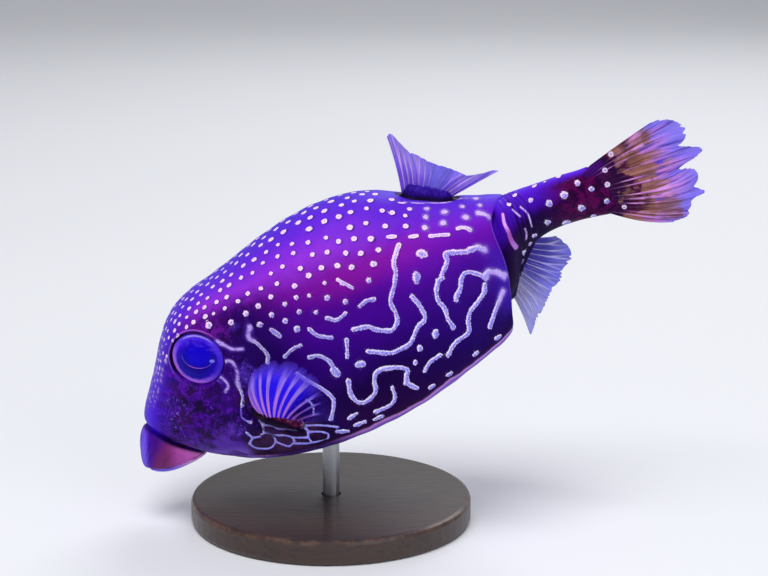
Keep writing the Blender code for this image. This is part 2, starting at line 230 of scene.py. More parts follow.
class Skin:
    """The whole fish's skin as a grid: rows run nose to tail, columns run round the body."""

    def __init__(self):
        cage = skin_cage()
        self.row_place = even_rows(cage)
        self.column_place = even_columns()
        u = spline_weights(self.row_place, len(cage), False)
        v = spline_weights(self.column_place, cage.shape[1], True)
        self.points = np.einsum('ui,vj,ijk->uvk', u, v, cage)
        self.normals = grid_normals(self.points)
        turn = np.abs((self.column_place + RING / 2) % RING - RING / 2)
        girth = np.interp(turn, (0, 2, 5, 7), (1, 0, -1, -2))
        self.girth = np.broadcast_to(girth, self.points.shape[:2])
        self.row = np.broadcast_to(self.row_place[:, None], self.points.shape[:2])

    def push(self, amount):
        """Move every point along its normal by an amount in millimetres."""
        self.points = self.points + self.normals * amount[..., None]
        self.normals = grid_normals(self.points)

    def index_sides(self):
        """A flat search tree of each side's points, for on_side(), without the rear opening."""
        self.sides = {}
        turn = self.column_place - RING
        in_sight = self.points[(self.row_place < 20.5) | (self.row_place > 25.2)]
        for side, _ in SIDES:
            points = in_sight[:, (turn * side > 0.3) & (turn * side < 6.7)].reshape(-1, 3)
            self.sides[side] = search_tree([(s, h, 0) for s, _, h in points]), points[:, 1]

    def on_side(self, s, h, side):
        """The skin point that shows at (s, h) in a view of one side."""
        tree, y = self.sides[side]
        found = tree.find_n((s, h, 0), 5)
        weights = [1 / (gap + 0.05) ** 2 for _, _, gap in found]
        total = sum(w * y[i] for w, (_, i, _) in zip(weights, found))
        return np.array([s, total / sum(weights), h])


# ---------------------------------------------------------------- relief on the skin
EYE = (-21.5, 7.75)
EYE_SIZE = 4.7                                      # radius of the orbit
MOUTH_ROWS = 80                                     # skin rows that hold the mouth
MOUTH_LINE = ((-42.3, -6.7), (-40.5, -7.3), (-38.2, -8.5), (-35, -9.2), (-32.6, -9.2))
PECTORAL_FOOT = ((-16.4, -5.4), (-15.5, -6.5), (-14.6, -7.4), (-13.7, -8.1), (-12.8, -8.9),
                 (-11.9, -9.6))
DORSAL_FOOT = ((23.7, 11.7), (25.6, 10.6), (27.5, 9.5))
STALK_ARC = ((35.7, 2.3), (35.2, 1), (35.1, -0.5), (34.9, -1.5), (34.8, -2.5), (34.9, -3.7))
STALK_GLINTS = (((37.5, 2), (38.1, 0.4)), ((38.9, 1.8), (39.4, 0.2), (39, -2.2)),
                ((37.8, -1.8), (37.5, -2.9), (36.9, -3.8)))
WRINKLES = (        # rows of the stalk's wrinkles, each with its depth
    (25.5, 0.08), (25.85, 0.12), (26.25, 0.26), (26.62, 0.22), (26.95, 0.17), (27.3, 0.12),
    (27.7, 0.08),
)
GILL = ((-18.2, -2.4), (-18.4, -5), (-17.6, -8.2), (-16.2, -10.4))
ANAL_FOOT = ((37.2, -4.6), (35.4, -6), (33.6, -7.6), (31.8, -9.2), (29.6, -11.6))


def flat_gap(points, line):
    """Distance from each point to a smooth line, as seen from the side."""
    curve = smooth_line(line, 60)
    flat = points[..., ::2].reshape(-1, 1, 2)
    gap = np.linalg.norm(flat - curve[None], axis=2).min(1)
    return gap.reshape(points.shape[:-1])


def eye_axes(skin, side):
    """Centre of an eye on the skin, and its axes: toward the tail, up and outward."""
    centre = skin.on_side(*EYE, side)
    near = np.linalg.norm(skin.points - centre, axis=2) < 4.6
    out = skin.normals[near].mean(0)
    out /= np.linalg.norm(out)
    back = np.array([math.cos(DIVE), 0, -math.sin(DIVE)])
    back -= out * back.dot(out)
    back /= np.linalg.norm(back)
    up = np.cross(out, back) * (-side)
    return centre, np.array([back, up * np.sign(up[2]), out])


def sink_eyes(skin, sockets):
    """A round pit for each eye, with a low lid rolled round it."""
    for side, _ in SIDES:
        centre, axes = sockets[side]
        local = (skin.points - centre) @ axes.T
        same = skin.points[..., 1] * side > 2
        away = np.hypot(local[..., 0], local[..., 1] * 1.07) / EYE_SIZE
        away = np.where(same & (np.abs(local[..., 2]) < 6), away, FAR)
        inside = 1 - rise(away, 0.98, 1.05)
        drop = (-2.6 - local[..., 2]) * inside + 0.22 * hump(away, 1.1, 0.07)
        skin.points = skin.points + axes[2] * drop[..., None]
        skin.eye_gap = np.minimum(skin.eye_gap, away)
    skin.normals = grid_normals(skin.points)


def carve_mouth(skin):
    """The closed mouth: a groove between the lips, and soft creases on them."""
    p = skin.points
    lips = (skin.row < 5.2) & (p[..., 0] < -33)
    front = p[:MOUTH_ROWS]
    groove = hump(flat_gap(front, MOUTH_LINE), 0, 0.26) * (1 - rise(front[..., 0], -34.4, -32.8))
    amount = np.zeros(p.shape[:2])
    amount[:MOUTH_ROWS] = -0.34 * groove
    below = np.interp(p[..., 0], [s for s, _ in MOUTH_LINE], [h for _, h in MOUTH_LINE])
    skin.under_lip = below - p[..., 2]
    crease = np.sin(skin.girth * 31 + np.sin(skin.row * 2.6) * 1.4)
    amount += 0.035 * crease * rise(skin.row, 0.4, 1.5) * (1 - rise(skin.row, 3.5, 4.8)) * lips
    skin.push(amount)


def raise_fin_bases(skin):
    """Fleshy pads that the fins grow from; the pectoral and dorsal pads each sit in a moat of
    their own.
    """
    p = skin.points
    pectoral = np.where(np.abs(p[..., 1]) > 6, flat_gap(p, PECTORAL_FOOT), FAR)
    knots = 0.2 * np.sin(p[..., 2] * 3.7 + p[..., 0]) + 0.12 * np.sin(p[..., 2] * 6.9)
    amount = (1.1 + knots) * (1 - rise(pectoral, 0.4, 1.2)) - 0.35 * hump(pectoral, 1.5, 0.28)
    dorsal = np.hypot(flat_gap(p, DORSAL_FOOT) * 0.8, p[..., 1])
    dorsal = np.where(skin.row < 23, dorsal, FAR)
    ribs = 0.1 * np.sin(p[..., 0] * 5.2) + 0.08 * np.sin(p[..., 1] * 7 + p[..., 0] * 2)
    height = 1.75 - 0.8 * rise(p[..., 0], 23, 29.5) + ribs
    amount += height * (1 - rise(dorsal, 1.25, 1.85)) - 0.55 * hump(dorsal, 2.3, 0.4)
    anal = np.hypot(flat_gap(p, ANAL_FOOT), p[..., 1] * 0.9)
    anal = np.where((skin.row > 22.5) & (skin.girth < -0.2), anal, FAR)
    amount += 0.8 * (1 - rise(anal, 0.5, 1.8))
    skin.push(amount)
    skin.pad_pectoral, skin.pad_dorsal, skin.pad_anal = pectoral, dorsal, anal


def fold_stalk(skin):
    """The loose skin where the stalk leaves the shell: one fold, then wrinkles that fade."""
    row = skin.row - 0.95 * np.cos((skin.girth + 0.45) * 1.15) + 0.3
    amount = 0.85 * hump(row, 25.1, 0.7)
    for k, (place, depth) in enumerate(WRINKLES):
        amount = amount - depth * hump(row + 0.1 * np.sin(skin.girth * 4 + k), place, 0.09)
    skin.push(amount * rise(skin.row, 24.2, 25))
    on_stalk = skin.row > 23.8
    skin.arc = np.where(on_stalk, flat_gap(skin.points, STALK_ARC), FAR)
    gaps = [flat_gap(skin.points, line) for line in STALK_GLINTS]
    skin.glint = np.where(on_stalk, np.minimum.reduce(gaps), FAR)


def plate_shell(skin):
    """The shell's plates swell a little, its ridges roll, and the gill opening is a slit."""
    p = skin.points
    on_shell = rise(skin.row, 7, 9) * (1 - rise(skin.row, 19.5, 21))
    skin.gill = np.where(np.abs(p[..., 1]) > 6, flat_gap(p, GILL), FAR)
    roll = 0.05 * np.sin(p[..., 0] * 1.15) * np.cos(p[..., 2] * 1.3 + 0.7 * np.sin(p[..., 0]))
    swell = (roll + 0.12 * hump(skin.girth, -1, 0.05)) * on_shell
    skin.push(swell - 0.28 * hump(skin.gill, 0, 0.3))


# ---------------------------------------------------------------- pale markings
# The points of these tables were picked one by one, and most of them were then worked out in the
# fish's own axes.  A scratch script worked out where most of them lie in the fish's own axes.
STROKES = (    # drawn on the left side: (half width, its (s, h) points)
    (0.47, ((18.2, 7.6), (17, 6.6), (16, 5.5), (15.5, 4), (14.5, 2.6), (13.4, 1.6),
            (12.3, 0.2), (12.2, -1.7), (11.7, -3.1), (10.3, -3.8), (9.2, -3.3), (8, -2.4),
            (7, -1.3), (4.7, -0.5))),
    (0.47, ((16, -0.8), (16.3, -3), (16, -5), (14.2, -5.6), (12, -7.1), (10, -7.2), (8, -6.8),
            (5, -4.8))),
    (0.49, ((25.4, 1.8), (24.2, 2.3), (23.8, 1), (22.2, -0.2), (21.8, -0.8))),
    (0.47, ((20.9, -0.9), (19.8, -2.2), (19.4, -3.7), (19.7, -5.3), (19.3, -7), (19.4, -8.6))),
    (0.58, ((25.4, 1.7), (26.4, 1.2), (27.4, 0.6))),
    (0.58, ((28.2, 0.5), (29.3, 0.1), (30.2, -0.8))),
    (0.47, ((32.2, 4.6), (33, 3.9), (33.4, 3.1))),
    (0.49, ((22, -5.1), (22.7, -4.4), (23.6, -3.8), (24.6, -2.5), (25.8, -2.2), (26.8, -3),
            (28.1, -4.6))),
    (0.58, ((28.1, -4.6), (29, -4.2), (30.2, -5.2), (30.9, -6.2))),
    (0.47, ((27.4, -5.6), (26.6, -6.6), (24.8, -7.4), (23, -8), (22, -9.2), (21.2, -10.6),
            (18.4, -11), (16.4, -12.1))),
    (0.43, ((29.6, -8.2), (27.8, -9.4), (26.2, -10.6), (24.7, -11.8))),
    (0.41, ((28, 4.5), (28.9, 4.2), (29.7, 3.2))), (0.39, ((23.4, 6), (24.8, 5.3), (26.2, 4.5))),
    (0.39, ((20.4, 7.7), (21.5, 7.2))), (0.39, ((17.2, 9.6), (18.3, 9))),
    (0.75, ((20.5, 4.7), (21.2, 4))), (0.66, ((18.4, 2.1), (17.9, 1.1))),
    (0.58, ((16.5, -7.7), (16.1, -8.3))), (0.55, ((12.9, -8.6), (12.8, -8.8))),
    (0.47, ((11.1, -10.2), (11, -10.4))), (0.39, ((11.7, -12.3), (13.2, -11.5), (15.2, -11.4))),
    (0.47, ((6.6, -8.9), (7.8, -9.4), (9.3, -10.7), (8.6, -11.6), (8, -12.5))),
    (0.36, ((8, -12.5), (9.2, -14.2))),
    (0.47, ((-0.3, -7.5), (-0.9, -8.8), (-1.1, -10.1), (-0.6, -11.4), (0.7, -11.9), (2, -11.6),
            (3.1, -10.8), (3.4, -9.6), (4.4, -8.6), (5.4, -8.5), (6.6, -8.9))),
    (0.36, ((5.6, -12), (5.2, -13.6), (3.8, -14.4), (1, -14.1))),
    (0.41, ((-4.1, -0.9), (-2.7, -1.4), (-1.6, -2.8), (-1.4, -4.4))),
    (0.7, ((-1.7, -4.7), (-1.4, -5.6))), (0.7, ((2.5, -5.9), (3.1, -6.2))),
    (0.41, ((2.8, -1.4), (2.2, -2.6), (1.5, -3.9))), (0.34, ((6.6, 8), (7.3, 6.9), (8, 5.7))),
    (0.43, ((7.6, 2.4), (8.9, 2.6), (10.2, 2.2))), (0.41, ((1.8, 3.4), (3.1, 2.3), (4.9, 2.6))),
    (0.39, ((-1.7, 3.3), (-1.1, 1.7), (0.7, 0.2))), (0.43, ((-7.4, 6.4), (-6.7, 4.6))),
    (0.39, ((-7.7, 1.2), (-6, 1.7), (-4.5, 1.6))),
    (0.38, ((-10.3, 8.5), (-11.4, 7), (-10.7, 5.3), (-10.2, 3), (-10.8, 1.7))),
    (0.26, ((-16.6, 9), (-15.8, 7.6), (-15, 6.5), (-13.4, 5.7))),
    (0.27, ((-17.2, 5.3), (-16.3, 4.6), (-16.3, 2.8), (-17.2, 1.2))),
    (0.32, ((-17.2, 1.2), (-17.5, -0.2), (-17.8, -1.6), (-18.6, -2.8))),
    (0.17, ((-19.1, -3.2), (-19.8, -4.6), (-19.3, -5.8))), (0.36, ((-19.1, -5.9), (-18.9, -6.1))),
    (0.23, ((-19.9, 3.9), (-19.2, 2.8), (-19, 1.3), (-20, 0.5))),
    (0.28, ((-14, 0.4), (-13.6, -0.4))),
    (0.38, ((-7.4, -2.3), (-6.5, -4), (-5.3, -5.8), (-4.6, -7.2), (-4.1, -8.8), (-4.9, -10.3),
            (-6.2, -11.6))),
    (0.19, ((-8.2, -6.8), (-7.7, -8.2), (-8.4, -9.6))), (0.39, ((-3.4, -13), (-1.8, -12.9))),
    (0.34, ((-3.2, -14.5), (-1.2, -14.8))), (0.34, ((0.2, -15.2), (1.8, -15.4))),
    (0.34, ((-6.4, -14), (-4.6, -14.9))), (0.38, ((11, -15.2), (11.8, -15.2))),
    (0.38, ((14.6, -14.9), (15.4, -14.9))), (0.39, ((20.2, -14.4), (20.9, -14.3))),
    (0.39, ((24.6, -14.1), (25.4, -14.1))),
)
COMB = (    # thin pale lines: plate walls under the pectoral fin, the dorsal fin's slot
    ((21.2, 12.9), (23, 11.6), (25.2, 10.2), (27.4, 8.9), (28.9, 8.1)),
    ((-21.3, -9.5), (-20, -8.8), (-18.9, -9), (-17.7, -8.7), (-16.6, -9.8), (-16.8, -10.9),
        (-18.2, -11.6), (-20.4, -10.8), (-21.3, -9.5)),
    ((-16.6, -9.8), (-14.9, -10.5), (-13.8, -11.4), (-13.8, -12.2), (-15.2, -12.6),
        (-16.8, -10.9)),
    ((-13.8, -11.5), (-12.3, -12.2), (-11.3, -12.8), (-11.5, -13.7), (-13.8, -12.7)),
    ((-11.3, -12.8), (-10.6, -12), (-8.8, -12.8), (-7.9, -13.8), (-8.8, -14.4), (-11.5, -13.7)),
    ((-10.7, -10.6), (-8.2, -11.8), (-5.8, -13.4)), ((-10.6, -12), (-10.9, -10.9)),
    ((-17.4, -6.3), (-16.9, -7.5), (-15.9, -8.2), (-15.1, -9.1), (-13.9, -9.8), (-12.4, -10.8),
        (-11, -10.6), (-10.7, -9.4)),
    ((-20, -8.8), (-20.6, -7.4)), ((-17.7, -8.7), (-17.3, -7.4)),
)
SPOTS = (    # single dots over the back and flank: (s, h, radius)
    (-16.5, 12, 0.64), (-12.8, 10.6, 0.6), (-8.6, 8, 0.56), (-3.5, 4.3, 0.53), (-7.3, 10.8, 0.51),
    (-4.7, 11.1, 0.46), (-6, 8.5, 0.49), (-4.5, 6.5, 0.46), (-9.8, 10.7, 0.49), (-1.7, 6.7, 0.46),
    (0.7, 5.2, 0.51), (-1, 9, 0.42), (1.1, 8.2, 0.46), (-3.2, 9, 0.46), (3.6, 6.4, 0.53),
    (5.9, 4.3, 0.53), (11, 5.3, 0.53), (6.9, 7.2, 0.39), (4.4, 8.7, 0.42), (2.6, 11, 0.49),
    (-0.3, 10.7, 0.46), (-2.8, 12.4, 0.44), (13, 7.2, 0.56), (9.6, 8.6, 0.51), (7.6, 10, 0.51),
    (5.1, 11, 0.49), (1.9, 12.6, 0.49), (-0.7, 14.2, 0.44), (-3, 14.2, 0.39), (-5.6, 13, 0.44),
    (-8, 13.3, 0.42), (-10.1, 13, 0.42), (14.8, 8.7, 0.49), (12, 9.7, 0.53), (9.8, 11, 0.49),
    (7.1, 12.6, 0.49), (4.7, 13.5, 0.46), (1.9, 15.1, 0.44), (-0.8, 15.9, 0.42),
    (-3.6, 16.1, 0.39), (-5.9, 15.6, 0.39), (14.6, 10.8, 0.56), (12.1, 12.2, 0.53),
    (9.6, 13.1, 0.49), (8, 14.6, 0.42), (4.9, 15.4, 0.46), (2.3, 16.4, 0.42), (0, 17.3, 0.39),
    (20.4, 13.8, 0.49), (18.3, 13.4, 0.46), (19.6, 12.3, 0.53), (22.4, 11.2, 0.46),
    (21.3, 10.8, 0.42), (24.9, 9.7, 0.46), (24.2, 8.8, 0.53), (27.3, 7.8, 0.53), (26.3, 6.5, 0.53),
    (30.3, 6.8, 0.42), (30, 5.2, 0.56), (32.9, 6.4, 0.46), (33, 5.4, 0.39), (31.6, 7.6, 0.39),
    (17.6, 11.2, 0.51), (20.6, 9.4, 0.53), (23.2, 7.6, 0.51), (30.4, 8, 0.42),
)
STALK_SPOTS = (
    (41, 1.9, 0.45), (43.5, 0.1, 0.62), (46.4, 0, 0.72), (41.7, -2.9, 0.7), (44.4, -4.7, 0.75),
    (49.3, 0.8, 0.55), (47.9, -3.4, 0.66), (50.9, -1.2, 0.48), (54.4, 0.4, 0.5),
    (53.6, -1.9, 0.52), (52.2, -4.4, 0.52), (39, 3.6, 0.45), (42.7, 3.4, 0.5), (47.1, 3.1, 0.55),
    (52.3, 2.6, 0.5), (38.6, -4, 0.5), (37.2, -5, 0.42), (35.6, -5.8, 0.62), (34.4, -7.4, 0.5),
    (37.4, 3, 0.42), (49, -5.9, 0.5), (44.6, 3.3, 0.3), (32.6, -9.4, 0.45),
)
TAIL_SPOTS = (    # dots on the tail fin's root, in the fin's own plane
    (56.9, 2.5, 0.5), (54.7, 0.5, 0.46), (53.9, -1.9, 0.5), (52.4, -4.4, 0.5), (54.4, -6.8, 0.46),
)
AMBER = (    # amber, dark and pink patches between the tail's rays: (s, h, radius)
    (63.4, 2.5, 2.2), (60.1, -0.2, 2), (61.8, -3.6, 1.7), (56, -4.6, 1.5), (61.3, -10.1, 3.2),
    (58.6, -9, 2),
)
MAROON = (
    (59.4, 3.1, 1.7), (54.5, -2.3, 2), (57.2, 1.4, 1.6), (57.4, -7.4, 1.6), (53.8, -5.6, 1.8),
)
BLUSH = (
    (61.7, 3, 1.6), (62.8, -2, 1.8), (57.7, -2.4, 1.6), (55.1, -0.8, 1.2), (57.1, -5.6, 1.6),
    (61.8, -6.7, 1.8),
)
GRAINS = (      # where the cheek and the snout carry pale grains
    (-15.3, 1.6, 2.8), (-19.8, 2.9, 1.5), (-29.7, 1.3, 3), (-31.6, -1, 1.8), (-21.5, -6.6, 1.6),
)

DOT_ROWS = 6            # rows of small dots on each side of the back's middle one
REACH = 6               # how far from a mark its offset is told, in half widths


class Marks:
    """Samples of every pale mark on the skin, each with the half width of its mark."""

    def __init__(self):
        self.points, self.widths = [], []

    def dot(self, point, radius):
        self.points.append(point)
        self.widths.append(radius)

    def stroke(self, skin, line, half_width, side):
        curve = smooth_line(line, 12 + 14 * len(line))
        self.points.extend(skin.on_side(s, h, side) for s, h in curve)
        end = np.linspace(-1, 1, len(curve))
        swell = 1.08 - 0.26 * end ** 2 if len(line) == 2 else 0.84 + 0.16 * end ** 4
        self.widths.extend(half_width * swell)

    def lay(self, skin):
        """Offset from the nearest mark, in units of its half width, at every skin point."""
        tree = search_tree(self.points)
        flat = skin.points.reshape(-1, 3)
        nearest = np.array([tree.find(p)[1] for p in flat])
        width = np.array(self.widths)[nearest][:, None]
        offset = (flat - np.array(self.points)[nearest]) / width
        return np.clip(offset, -REACH, REACH).reshape(skin.points.shape)


def drift(line, side):
    """The right side carries the same plan as the left, strayed a little as in a live fish."""
    if side < 0:
        return line
    return tuple((s + 0.7 * math.sin(0.55 * h + 1), h + 0.5 * math.sin(0.5 * s)) for s, h in line)


def back_dots(skin, marks):
    """Rows of dots over the back, finer toward the snout, clear of the marks laid so far."""
    laid = search_tree(marks.points)
    place = skin.column_place
    middle = int(np.argmin(np.abs(place - RING)))
    ridge = int(np.argmin(np.abs(place - RING + 2)))
    half = np.linalg.norm(np.diff(skin.points[:, ridge:middle + 1], axis=1), axis=2).sum(1)
    spacing = half / 6.6
    spacing = np.where(skin.points[:, middle, 0] > 9, np.maximum(spacing, 2.5), spacing)
    along = np.concatenate([[0], np.linalg.norm(np.diff(skin.points[:, middle], axis=0), axis=1)])
    phase = np.cumsum(along / (spacing * 1.02))
    for k in range(-DOT_ROWS, DOT_ROWS + 1):
        column = int(np.argmin(np.abs(place - RING - k * 2 / (DOT_ROWS + 0.5))))
        line, level = skin.points[:, column], skin.girth[0, column]
        last = 18.5 if level > 0.2 else -9.5
        first = -36.5 + 2.2 * abs(math.sin(k * 1.7))
        for n in range(int(phase[-1])):
            at = n + 0.5 * (k % 2) + RANDOM.uniform(-0.14, 0.14)
            s, y, h = (np.interp(at, phase, line[:, c]) for c in range(3))
            size = np.interp(at, phase, spacing)
            sway = RANDOM.uniform(-0.11, 0.11) * size
            keep = first < s < last and not (s < -24 and RANDOM.random() < 0.12)
            if s < -22:
                s, h = s + RANDOM.uniform(-0.3, 0.3) * size, h + RANDOM.uniform(-0.1, 0.1) * size
            if keep and laid.find((s, y, h))[2] > (1.3 if s < -12 else 2.1):
                radius = size * RANDOM.uniform(0.185, 0.24)
                marks.dot((s, y + sway, h), radius * 1.15 if s < -22 else radius)


def all_marks(skin):
    marks = Marks()
    for side, _ in SIDES:
        for half_width, line in STROKES + tuple((0.21, line) for line in COMB):
            marks.stroke(skin, drift(line, side), half_width, side)
        for s, h, radius in SPOTS + STALK_SPOTS:
            (s, h), = drift(((s, h),), side) if s < 33 else ((s, h),)
            marks.dot(skin.on_side(s, h, side), radius)
    back_dots(skin, marks)
    return marks.lay(skin)


# ---------------------------------------------------------------- meshes
CORNERS = ((0, 0), (1, 0), (1, 1), (0, 1))


def grid_faces(rows, columns, closed, flip, first=0):
    """Quads between neighbouring rows and columns, with their places on the unit square."""
    faces, places = [], []
    spans = columns if closed else columns - 1
    for i in range(rows - 1):
        for j in range(spans):
            k = (j + 1) % columns
            face = [first + a * columns + b for a, b in ((i, j), (i, k), (i + 1, k), (i + 1, j))]
            spots = [((j + u) / spans, (i + v) / (rows - 1)) for u, v in CORNERS]
            faces.append(face[::-1] if flip else face)
            places.append(spots[::-1] if flip else spots)
    return faces, places


def tube_faces(rows, columns, flip):
    """The faces of a tube whose ends close on two points that follow its own."""
    faces, places = grid_faces(rows, columns, True, flip)
    tip = rows * columns
    for start, end, turned_over in ((0, tip, not flip), (tip - columns, tip + 1, flip)):
        for j in range(columns):
            a, b = start + j, start + (j + 1) % columns
            faces.append([b, a, end] if turned_over else [a, b, end])
            places.append([(0, 0)] * 3)
    return faces, places


def put_mesh(name, points, faces, places, stored=()):
    """A smooth mesh object with its unwrapped places, and values stored on its points."""
    mesh = bpy.data.meshes.new(name)
    mesh.from_pydata([tuple(p) for p in points], [], faces)
    unwrapped = mesh.uv_layers.new(name="OFBake")
    unwrapped.data.foreach_set("uv", np.array([uv for face in places for uv in face]).ravel())
    for title, values in dict(stored).items():
        values = np.asarray(values, np.float32)
        kind, field = ("FLOAT", "value") if values.ndim == 1 else ("FLOAT_VECTOR", "vector")
        mesh.attributes.new(title, kind, "POINT").data.foreach_set(field, values.ravel())
    mesh.polygons.foreach_set("use_smooth", np.ones(len(faces), bool))
    mesh.update()
    piece = bpy.data.objects.new(name, mesh)
    bpy.context.scene.collection.objects.link(piece)
    return piece


def make_skin():
    skin = Skin()
    skin.eye_gap = np.full(skin.points.shape[:2], FAR)
    skin.index_sides()
    sockets = {side: eye_axes(skin, side) for side, _ in SIDES}
    plate_shell(skin)
    fold_stalk(skin)
    carve_mouth(skin)
    raise_fin_bases(skin)
    skin.index_sides()
    skin.mark = all_marks(skin)
    sink_eyes(skin, sockets)
    skin.mark_gap = np.linalg.norm(skin.mark, axis=2)
    skin.place = skin.points
    tips = np.array([skin.points[0].mean(0), skin.points[-1].mean(0)])
    stored = {}
    for title in ("place", "girth", "row", "mark", "mark_gap", "eye_gap", "gill", "pad_pectoral",
                  "pad_dorsal", "pad_anal", "under_lip", "arc", "glint"):
        values = getattr(skin, title)
        values = values.reshape(-1, *values.shape[2:])
        stored[title] = np.concatenate([values, values[:1], values[-1:]])
    stored["place"][-2:] = tips
    faces, places = tube_faces(*skin.points.shape[:2], True)
    return put_mesh("skin", swim(stored["place"]), faces, places, stored), sockets


# ---------------------------------------------------------------- eyes
EYE_COLUMNS = 96
EYE_PROFILE = (     # (radius, height) from the middle of the pupil out, then round behind
    (0, 0), (0.5, -0.01), (1, -0.05), (1.5, -0.11), (2, -0.2), (2.5, -0.31),
    (2.9, -0.43), (3.1, -0.53), (3.3, -0.57), (3.6, -0.67), (3.9, -0.8), (4.2, -0.96),
    (4.5, -1.14), (4.75, -1.36), (4.88, -1.75), (4.75, -2.3), (3.8, -2.9), (2, -3.2), (0, -3.25),
)


def make_eye(name, socket, side):
    """A domed eye: pupil and iris in front, a rounded back out of sight."""
    centre, axes = socket
    turns = np.arange(EYE_COLUMNS) * 2 * math.pi / EYE_COLUMNS
    profile = smooth_line(EYE_PROFILE, 72)
    ring = np.stack([np.cos(turns), np.sin(turns) * 0.955], -1)
    points = [(r * c, r * s, z) for r, z in profile[1:-1] for c, s in ring]
    points = np.array(points + [(0, 0, profile[1, 1]), (0, 0, profile[-2, 1])])
    faces, places = tube_faces(len(profile) - 2, EYE_COLUMNS, side < 0)
    world = swim(centre + axes[2] * 0.8 + points @ axes)
    return put_mesh(name, world, faces, places, {"dome": points})


# ---------------------------------------------------------------- fins
FIN_ROWS = 46                   # from the foot to the edge
RAY_COLUMNS = 9                 # from one ray to the next
TAIL_SHIFT = -5.4               # y of the tail fin's foot: the stalk bends to the left
PECTORAL_OUT = 15.4             # distance of the pectoral fins' feet from the middle

# Each fin's outlines as (s, h) points: its foot, a line halfway out and its edge.
DORSAL = (
    ((21.8, 12.6), (23.6, 11.6), (25.6, 10.5), (27.2, 9.4), (28.8, 8.4)),
    ((23.5, 17.5), (25, 15.4), (27.4, 12.8), (30, 10.6), (33.2, 8.4)),
    ((24.8, 23.1), (25.3, 23.5), (25.9, 22.9), (26.2, 21.4), (26.8, 19.2), (28.2, 17.1),
     (29.6, 15), (31.4, 13.1), (32.8, 11.2), (34, 10.1), (36, 9.4), (37.8, 8.9), (38.6, 8.3)),
)
ANAL = (
    ((36.8, -4.2), (35.2, -5.4), (33.6, -7), (31.8, -8.8), (29.8, -10.8)),
    ((39.8, -5.9), (39, -8.4), (36, -10.6), (33, -13), (29.8, -15.2)),
    ((41.6, -6.6), (42.6, -9), (42.2, -11.4), (39.9, -12.4), (38.8, -13.8), (36.6, -14.6),
     (34, -16.6), (31.6, -18), (29, -20.2)),
)
TAIL = (
    ((51, 1.9), (51.1, 0.6), (51.2, -1.4), (51, -3), (50.6, -4.4), (50.2, -5.4)),
    ((58.4, 3.35), (60.4, 2.2), (61.4, -1), (60.9, -4.8), (59, -8), (55.4, -10)),
    ((65.6, 4.5), (67.4, 4.3), (69, 3.6), (70.2, 2), (70.5, 0.8), (69.5, -0.5), (68.1, -1.2),
     (69.4, -1.7), (70.5, -2.4), (71.6, -3.3), (69.6, -4.1), (66.2, -4.6), (67.4, -5.1),
     (68.4, -5.8), (68.6, -7.2), (67.3, -8.8), (68.3, -10.2), (66.2, -10.4), (64.9, -11.4),
     (63.6, -12.7), (60.9, -12.8)),
)
PECTORAL = (
    PECTORAL_FOOT,
    ((-16.2, -1.9), (-13.9, -0.9), (-11.4, -2.2), (-9.4, -4.4), (-8.2, -7.2), (-8.4, -10.6)),
    ((-14.5, 1.2), (-11.9, 3.2), (-7.6, 3.2), (-4, 0), (-3, -5.8), (-4.6, -12.8)),
)


